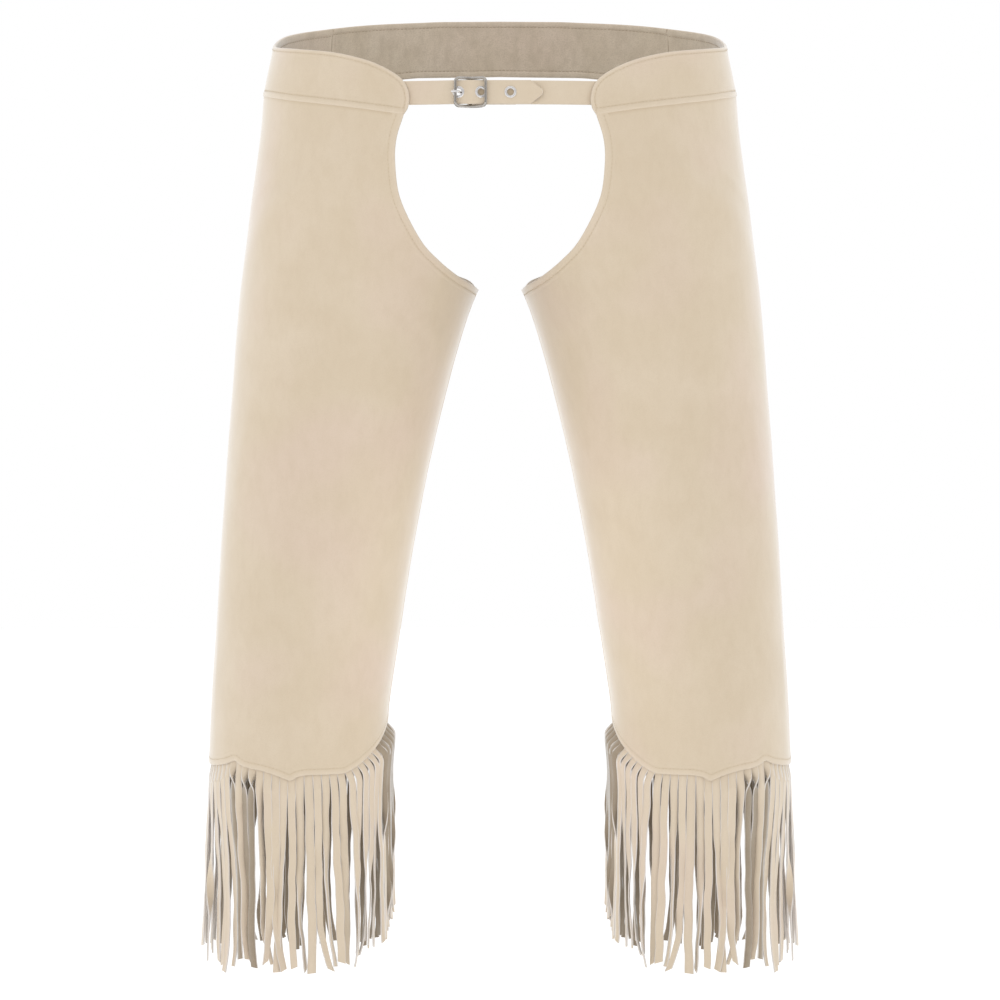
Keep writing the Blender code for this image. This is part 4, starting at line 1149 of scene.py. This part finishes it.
def strand(maker, side, sign, angle, pitch, habit, number):
    """One strand, from behind the hem down to its cut end."""
    hem_at = np.array([angle + sign * 2.0, angle, angle - sign * 2.0])
    heights = hem_height(hem_at)
    before, root, after = cloth(side, hem_at, heights, HEADER_OUT + relief(hem_at, heights))
    out = slopes(side, angle, float(hem_height(angle)))[2]
    out = unit(out * (1, 1, 0))
    along = after - before
    slope = math.atan2(along[2], math.hypot(along[0], along[1]))
    slope *= float(smooth_step((abs(angle) - 108) / 14))
    along = unit(along * (1, 1, 0))
    up = np.array([0.0, 0.0, 1.0])

    inner = float(smooth_step((abs(angle) - 115) / 45))
    long = STRAND_LENGTH + habit["trim"]
    long -= INSEAM_TRIM * float(smooth_step((abs(angle) - 140) / 35))
    long -= SIDE_TRIM * float(smooth_step(1 - abs(angle) / 50))
    s = np.concatenate((np.linspace(-1.5, 18, 10), np.linspace(18, long, 28)[1:]))
    t = np.clip(s / long, 0, 1)

    def drift(spread, size, row):
        """Smooth noise down the strand, its waves about `size` mm long."""
        return np.array([noise.noise(Vector((number * spread, x / size, row))) for x in s])

    sideways, drop, turn = bend(s, long, slope)
    stand = SPLAY + (HANG - SPLAY) * smooth_step(t / 0.27)
    lean = (LEG_WALL + 0.4) * smooth_step(s / 14) + stand * inner * smooth_step(s / 10)
    lean = lean + habit["lean"] * (1 - 0.5 * inner) * t**1.5 + FLARE * (1 - inner) * t**2.5
    wave, wave2 = drift(3.7, 42.0, side * 5.0), drift(5.1, 38.0, 9.0)
    kinks, ragged = drift(2.9, 17.0, side * 3.0), drift(7.3, 9.0, 4.0)
    hanging = smooth_step(s / 50)
    if "middle" in habit:  # it hangs in its own way
        middle, end = habit["middle"], habit["end"]
        aside = (8 * middle - end) * t**2 + (2 * end - 8 * middle) * t**3
        slow = TURN_LENGTH + TURN_SLOWNESS * abs(habit["turn"])
        quick = TURN_LENGTH if habit["start"] < 0 else slow
        turned = smooth_step((s - habit["start"]) / quick)
        turned = turned - smooth_step((s - habit["stop"]) / slow)
        unruly = OWN_UNRULY
    else:
        aside, turned, unruly = parted(abs(root[0]), sign > 0, t), 0.0, UNRULY
    curling = np.clip((t - CURL_FROM) / (1 - CURL_FROM), 0, 1) ** 1.7
    aside = aside + habit.get("curl", 0.0) * curling
    wander = unruly * wave + 0.9 * kinks
    centre = root + along * (sideways + habit["sway"] * t**2 + wander * hanging)[:, None]
    centre = centre + out * (lean + 1.5 * wave2 * hanging)[:, None] - up * drop[:, None]
    centre[:, 0] += side * aside

    twist = np.radians(habit["twist"]) * smooth_step((t - 0.1) / 0.7) + 0.3 * wave2 * hanging
    twist = twist + np.radians(habit.get("turn", 0.0)) * turned
    flat = along * np.cos(turn)[:, None] + up * np.sin(turn)[:, None]
    cos, sin = np.cos(twist)[:, None], np.sin(twist)[:, None]
    wide = flat * cos + out * sin
    thick = out * cos - flat * sin
    down = unit(np.gradient(centre, axis=0))

    half = (pitch - SLIT * smooth_step((s - 0.5) / 4)) / 2
    half = half * (1 + (habit["wide"] - 1) * smooth_step(s / 30))
    half = half * (1 + (0.05 * wave + 0.07 * ragged) * hanging)
    half = half * (1 - habit["taper"] * smooth_step((t - 0.8) / 0.2))
    cup = habit["cup"] * smooth_step(s / 25)
    ends = smooth_step((t - 0.93) / 0.07) * habit["skew"]
    rings = []
    for across, through in STRAND_RING:
        bulge = through * STRAND_THICKNESS / 2 + cup * (0.5 - across**2)
        point = centre + wide * (half * across)[:, None] + thick * bulge[:, None]
        rings.append(point + down * (ends * across)[:, None])
    maker.loft(np.stack(rings, axis=1), STRAND_FINISH, rubbed=STRAND_WEAR, tone=habit["tone"])


def fringe(side_name, front, seed):
    """A strip of suede behind the hem, cut into strands below it."""
    side, sign = SIDES[side_name], 1 if front else -1
    node = f"fringe_{'front' if front else 'back'}_{side_name}"
    angles = sign * np.linspace(179.6, 0.4, 361)
    points = cloth(1, angles, hem_height(angles))
    length = np.concatenate(([0], np.cumsum(np.linalg.norm(np.diff(points, axis=0), axis=1))))
    count = int(length[-1] / STRAND_PITCH)
    pitch = length[-1] / count
    maker = Maker()
    inside = (sign * IN_LEG[0], IN_LEG[1])
    header = Edge(side, angles, hem_height(angles), inside, HEM_STEP)
    face, back = HEADER_OUT + STRAND_THICKNESS / 2, HEADER_OUT - STRAND_THICKNESS / 2
    ring = [(distance, face) for distance in (-0.3, 2.0, 4.5, HEADER_HEIGHT)]
    ring += [(distance, back) for distance in (HEADER_HEIGHT, 4.5, 2.0, -0.3)]
    rings = np.stack([header.at(distance, out) for distance, out in ring], axis=1)
    maker.loft(rings, [OUTER] * 3 + [INNER] * 5, tone=0.2)
    own = FRONT_STRANDS if front else BACK_STRANDS
    for i, habit in enumerate(strand_habits(count, seed, own)):
        angle = float(np.interp((i + 0.5) * pitch, length, angles))
        strand(maker, side, sign, angle, pitch, habit, i + seed)
    strands = maker.build(f"{node}_strands", (SUEDE, FLESH_AND_SHADE, CUT_EDGE), sharp=60)
    hand_over(strands, node)
    return strands


# ---------------------------------------------------------------- strap, buckle, eyelets


def front_depth(across):
    """How far in front of the origin the yokes' inner face runs at the strap's height."""
    outer, _, front, _, square = (read_curve(SECTIONS, STRAP_HEIGHT, k) for k in range(1, 6))
    return front * (1 - np.abs(across / outer) ** square) ** (1 / square) - YOKE_WALL


def strap_point(across, depth, up=0.0):
    """Places across the front, `depth` out of the waist ring's inner face there, and `up`
    from the strap's middle."""
    across, depth, up = np.broadcast_arrays(*(np.asarray(v, float) for v in (across, depth, up)))
    return np.stack((across, -front_depth(across) - depth, STRAP_HEIGHT + up), -1)


def strap(name, path, half_widths, seed):
    """A flat strap along (across, depth) places, faintly wrinkled along its length. It is worn pale
    at its edges, and where it lies behind it is painted dark round each eyelet place, a painted
    shade seen through the eyelet holes."""
    along = unit(np.gradient(path, axis=0))
    aside = np.stack((-along[:, 1], along[:, 0]), -1)
    half = STRAP_WALL / 2
    places = [(u, half) for u in np.linspace(-0.93, 0.93, 13)]
    places += [(0.985, half * 0.6), (1.0, 0.0), (0.985, -half * 0.6)]
    places += [(u, -half) for u in np.linspace(0.93, -0.93, 13)]
    places += [(-0.985, -half * 0.6), (-1.0, 0.0), (-0.985, half * 0.6)]
    rings, rubbed = [], []
    for u, through in places:
        up = u * half_widths
        base = strap_point(path[:, 0], path[:, 1], up)
        wrinkle = waves(np.stack((base[:, 0] / 9, base[:, 2], base[:, 1] * 0), -1), 3.2, seed)
        middle = 1 - abs(u) ** 4
        lift = through + 0.16 * wrinkle * middle
        across, depth = path[:, 0] + aside[:, 0] * lift, path[:, 1] + aside[:, 1] * lift
        rings.append(strap_point(across, depth, up))
        # painted shade on the strap lying behind, where it shows through the eyelet holes
        off = np.min([np.hypot(path[:, 0] - place, up) for place in EYELET_PLACES], axis=0)
        shade_behind_eyelet = smooth_step((EYELET_RIM - off) / 2) * (path[:, 1] < 0)
        rubbed.append((0.8 if abs(u) > 0.95 else 0.3) * (1 - shade_behind_eyelet) - shade_behind_eyelet)
    maker = Maker()
    maker.loft(np.stack(rings, axis=1), OUTER, rubbed=np.stack(rubbed, axis=1))
    piece = maker.build(name, (SUEDE,), sharp=60)
    hand_over(piece)
    return piece


def cut_away(piece, cutters):
    """Cuts each cutter out of the piece."""
    for cutter in cutters:
        rule = piece.modifiers.new("cut", "BOOLEAN")
        rule.operation = "DIFFERENCE"
        rule.solver = "EXACT"
        rule.object = cutter
    graph = bpy.context.evaluated_depsgraph_get()
    made = bpy.data.meshes.new_from_object(piece.evaluated_get(graph))
    piece.modifiers.clear()
    piece.data = made
    for cutter in cutters:
        bpy.data.objects.remove(cutter)


def eyelet_seat(across):
    """Depth of the tip strap's middle there, and how it slopes."""
    path = route(TIP_STRAP_PATH, 20)
    depth = np.interp(across, path[:, 0], path[:, 1])
    ahead = np.interp(across + 0.5, path[:, 0], path[:, 1])
    return depth, math.atan((ahead - depth) / 0.5)


def turned_ring(maker, across, profile, sides, closed=True):
    """A form turned about the strap's own normal. The profile is (radius, height) pairs."""
    depth, tilt = eyelet_seat(across)
    rings = []
    for k in range(sides):
        turn = 2 * math.pi * k / sides
        ring = []
        for radius, height in profile:
            x = across + radius * math.cos(turn) * math.cos(tilt) - height * math.sin(tilt)
            d = depth + radius * math.cos(turn) * math.sin(tilt) + height * math.cos(tilt)
            ring.append((x, -front_depth(across) - d, STRAP_HEIGHT + radius * math.sin(turn)))
        rings.append(ring)
    if closed:
        maker.loft(rings, 0, closed=True)
    else:
        maker.loft(np.swapaxes(np.array(rings), 0, 1), 0)


def tip_strap():
    """The strap with the blunt pointed tip, pierced for its three eyelets."""
    path = route(TIP_STRAP_PATH, 16)
    half = STRAP_WIDTH / 2
    past = np.clip((path[:, 0] - TIP_SHOULDER) / (TIP_END - TIP_SHOULDER), 0, 1)
    half_widths = half - (half - TIP_POINT) * past
    half_widths[-1] *= 0.5
    piece = strap("strap_tip_suede", path, half_widths, seed=7)
    cutters = []
    for across in EYELET_PLACES:
        plug = Maker()
        turned_ring(plug, across, ((EYELET_BARREL, -3.0), (EYELET_BARREL, 3.0)), 40, closed=False)
        cutters.append(plug.build("plug", ()))
    cut_away(piece, cutters)
    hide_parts("strap_tip")


def buckle_strap():
    """The strap folded round the centre bar, slotted there for the prong."""
    turns = np.radians(75 + np.linspace(0, 206, 25))
    fold = np.stack(
        (BUCKLE_CENTRE + FOLD_RADIUS * np.cos(turns), BAR_DEPTH + FOLD_RADIUS * np.sin(turns)), -1
    )
    path = np.concatenate((route(BUCKLE_STRAP_PATH, 12), fold, route(BUCKLE_STRAP_RETURN, 10)))
    piece = strap("strap_buckle_suede", path, np.full(len(path), STRAP_WIDTH / 2), seed=8)
    length, height = PRONG_SLOT
    slot = Maker()
    corners = [
        (BUCKLE_CENTRE - 0.4 + x * length / 2, z * height / 2)
        for x, z in ((-1, -1), (1, -1), (1, 1), (-1, 1))
    ]
    slot.loft([[strap_point(x, BAR_DEPTH + d, z) for x, z in corners] for d in (-5.5, 5.5)], 0)
    cut_away(piece, [slot.build("slot", ())])
    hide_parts("strap_buckle")


def finish_metal(maker, node, metal=METAL):
    """Makes the metal piece that takes a node's place."""
    hand_over(maker.build(f"{node}_nickel", (metal,), sharp=50), node)


def wire(maker, centres, radii, reference, closed=False, sides=20):
    """A round wire along a route that stays square to `reference`."""
    centres = np.asarray(centres)
    if closed:
        along = np.roll(centres, -1, axis=0) - np.roll(centres, 1, axis=0)
    else:
        along = np.gradient(centres, axis=0)
    across = unit(np.cross(along, reference))
    other = unit(np.cross(along, across))
    turns = np.linspace(0, 2 * np.pi, sides, endpoint=False)
    cos, sin = np.cos(turns)[None, :, None], np.sin(turns)[None, :, None]
    radii = np.broadcast_to(radii, len(centres))[:, None, None]
    rings = centres[:, None] + radii * (across[:, None] * cos + other[:, None] * sin)
    maker.loft(rings, 0, closed=closed)


def frame_depth(across):
    """The frame is bowed: its ends stand forward of the centre bar."""
    share = np.minimum(np.abs(across - BUCKLE_CENTRE) / BUCKLE_HALF_WIDTH, 1.0)
    return BAR_DEPTH + 1.0 + (FRAME_DEPTH - BAR_DEPTH - 1.0) * share**1.7


def buckle_frame():
    """A rounded rectangle of wire with a bar across its middle."""
    straight_x = BUCKLE_HALF_WIDTH - BUCKLE_CORNER
    straight_z = BUCKLE_HALF_HEIGHT - BUCKLE_CORNER
    outline = []
    for cx, cz, start in ((1, 1, 0), (-1, 1, 90), (-1, -1, 180), (1, -1, 270)):
        for turn in np.radians(start + np.linspace(0, 90, 10)):
            outline.append((cx * straight_x + BUCKLE_CORNER * math.cos(turn),
                            cz * straight_z + BUCKLE_CORNER * math.sin(turn)))
        if start in (0, 180):
            shares = np.linspace(0.9, -0.9, 13)
            outline += [(cx * straight_x * share, cz * BUCKLE_HALF_HEIGHT) for share in shares]
        else:
            shares = np.linspace(0.85, -0.85, 9)
            outline += [(cx * BUCKLE_HALF_WIDTH, cz * straight_z * share) for share in shares]
    x, z = np.array(outline).T
    maker = Maker()
    across = BUCKLE_CENTRE + x
    wire(maker, strap_point(across, frame_depth(across), z), FRAME_RADIUS, (0, 1, 0), closed=True)
    up = np.array([-1.0, -0.9, -0.86, 0.86, 0.9, 1.0]) * BUCKLE_HALF_HEIGHT
    half_depths = [frame_depth(BUCKLE_CENTRE), BAR_DEPTH + 0.3, BAR_DEPTH]
    depth = np.array(half_depths + half_depths[::-1])
    wire(maker, strap_point(BUCKLE_CENTRE, depth, up), BAR_RADIUS, (0, 1, 0))
    finish_metal(maker, "buckle_frame")


def buckle_prong():
    """A wire ring on the centre bar with its tongue through the eyelet, over the frame."""
    turns = np.linspace(0, 2 * np.pi, 36, endpoint=False)
    centre = strap_point(BUCKLE_CENTRE, BAR_DEPTH)
    loop = centre + FOLD_RADIUS * np.stack((np.cos(turns), -np.sin(turns), 0 * turns), -1)
    maker = Maker()
    wire(maker, loop, PRONG_RADIUS, (0, 0, 1), closed=True, sides=16)
    path = route(PRONG_PATH, 8)
    share = np.linspace(0, 1, len(path))
    radii = PRONG_RADIUS - 0.2 * smooth_step((share - 0.7) / 0.3)
    radii[-1] *= 0.75
    wire(maker, strap_point(path[:, 0], path[:, 1]), radii, (0, 0, 1), sides=16)
    finish_metal(maker, "buckle_prong", BRIGHT_METAL)


def eyelets():
    """Pressed eyelets: a rolled flange on the strap's face and a barrel through it."""
    back, face = -STRAP_WALL / 2, STRAP_WALL / 2 + FLANGE_LIFT
    crown = face + FLANGE_HEIGHT
    middle = (EYELET_HOLE + EYELET_RIM) / 2
    reach = (EYELET_RIM - EYELET_HOLE) / 2
    turns = np.radians(np.linspace(180, 0, 10))
    roll = [(middle + reach * math.cos(a), face + (crown - face) * math.sin(a)) for a in turns]
    profile = [*roll, (EYELET_BARREL, face), (EYELET_BARREL, back), (EYELET_HOLE, back)]
    for i, across in enumerate(EYELET_PLACES):
        maker = Maker()
        turned_ring(maker, across, profile, 48)
        finish_metal(maker, f"eyelet_{i + 1}", BRIGHT_METAL)


# ---------------------------------------------------------------- the studio


def surround():
    """An even white world, but dimmer in front for what polished metal mirrors, which gives
    the metal a dark middle."""
    world = bpy.data.worlds.new("white_studio")
    bpy.context.scene.world = world
    world.use_nodes = True
    tree = world.node_tree
    way = add(tree, "ShaderNodeTexCoord").outputs["Generated"]
    ahead = add(
        tree, "ShaderNodeVectorMath", {"operation": "DOT_PRODUCT"}, {0: way, 1: (0.0, -1.0, 0.0)},
    )
    facing = add(
        tree, "ShaderNodeMapRange", {"clamp": True},
        {"Value": ahead.outputs["Value"], "From Min": 0.6, "From Max": 0.9, "To Max": 0.7},
    )
    mirrored = add(tree, "ShaderNodeLightPath").outputs["Is Glossy Ray"]
    dark = add(
        tree, "ShaderNodeMath", {"operation": "MULTIPLY"},
        {0: mirrored, 1: facing.outputs["Result"]},
    )
    light = add(tree, "ShaderNodeMath", {"operation": "SUBTRACT"}, {0: 1.0, 1: dark.outputs[0]})
    background = tree.nodes["Background"]
    background.inputs["Color"].default_value = (*WHITE, 1.0)
    tree.links.new(light.outputs[0], background.inputs["Strength"])


def paper_floor():
    """A round sheet of matt white paper under the garment, faintly lit from within."""
    paper, _, shader = new_material("matt_white_paper", 0.9)
    shader.inputs["Base Color"].default_value = colour("#E6E6E6")
    shader.inputs["Emission Color"].default_value = (*WHITE, 1.0)
    shader.inputs["Emission Strength"].default_value = 0.3
    bm = bmesh.new()
    bmesh.ops.create_circle(bm, cap_ends=True, segments=64, radius=FLOOR_RADIUS)
    bmesh.ops.translate(bm, verts=bm.verts, vec=(0, 0, FLOOR_HEIGHT * MM))
    mesh = bpy.data.meshes.new("floor")
    bm.to_mesh(mesh)
    bm.free()
    mesh.materials.append(paper)
    floor = bpy.data.objects.new("floor", mesh)
    bpy.context.scene.collection.objects.link(floor)


def lamps():
    """A soft key in front, panels on both sides and low behind, and a strip between the
    legs."""
    for name, place, aim, width, height, power, tint in LAMPS:
        lamp = bpy.data.lights.new(name, "AREA")
        lamp.shape = "RECTANGLE"
        lamp.size, lamp.size_y = width, height
        lamp.energy = power
        lamp.color = tint
        stand = bpy.data.objects.new(name, lamp)
        stand.location = place
        toward = Vector((0, 0, aim)) - Vector(place)
        stand.rotation_euler = toward.to_track_quat("-Z", "Y").to_euler()
        stand.visible_camera = False
        bpy.context.scene.collection.objects.link(stand)


def front_camera():
    """A level camera in front of the garment's middle."""
    lens = bpy.data.cameras.new("camera")
    lens.sensor_width = 36.0
    lens.lens = 36.0 * CAMERA_DISTANCE / PICTURE_WIDTH
    lens.clip_end = 100.0
    camera = bpy.data.objects.new("camera", lens)
    camera.location = (0, -CAMERA_DISTANCE * MM, CAMERA_HEIGHT * MM)
    camera.rotation_euler = (math.radians(90), 0, 0)
    bpy.context.scene.collection.objects.link(camera)
    bpy.context.scene.camera = camera
    bpy.context.scene.view_settings.view_transform = "Standard"


# ---------------------------------------------------------------- the whole garment

surround()
paper_floor()
lamps()
front_camera()
back_waistband()
for wearer_side in SIDES:
    yoke(wearer_side)
    for is_front in (True, False):
        hanging = fringe(wearer_side, is_front, seed=11 if is_front else 12)
        leg_panel(wearer_side, is_front)
tip_strap()
eyelets()
buckle_strap()
buckle_frame()
buckle_prong()
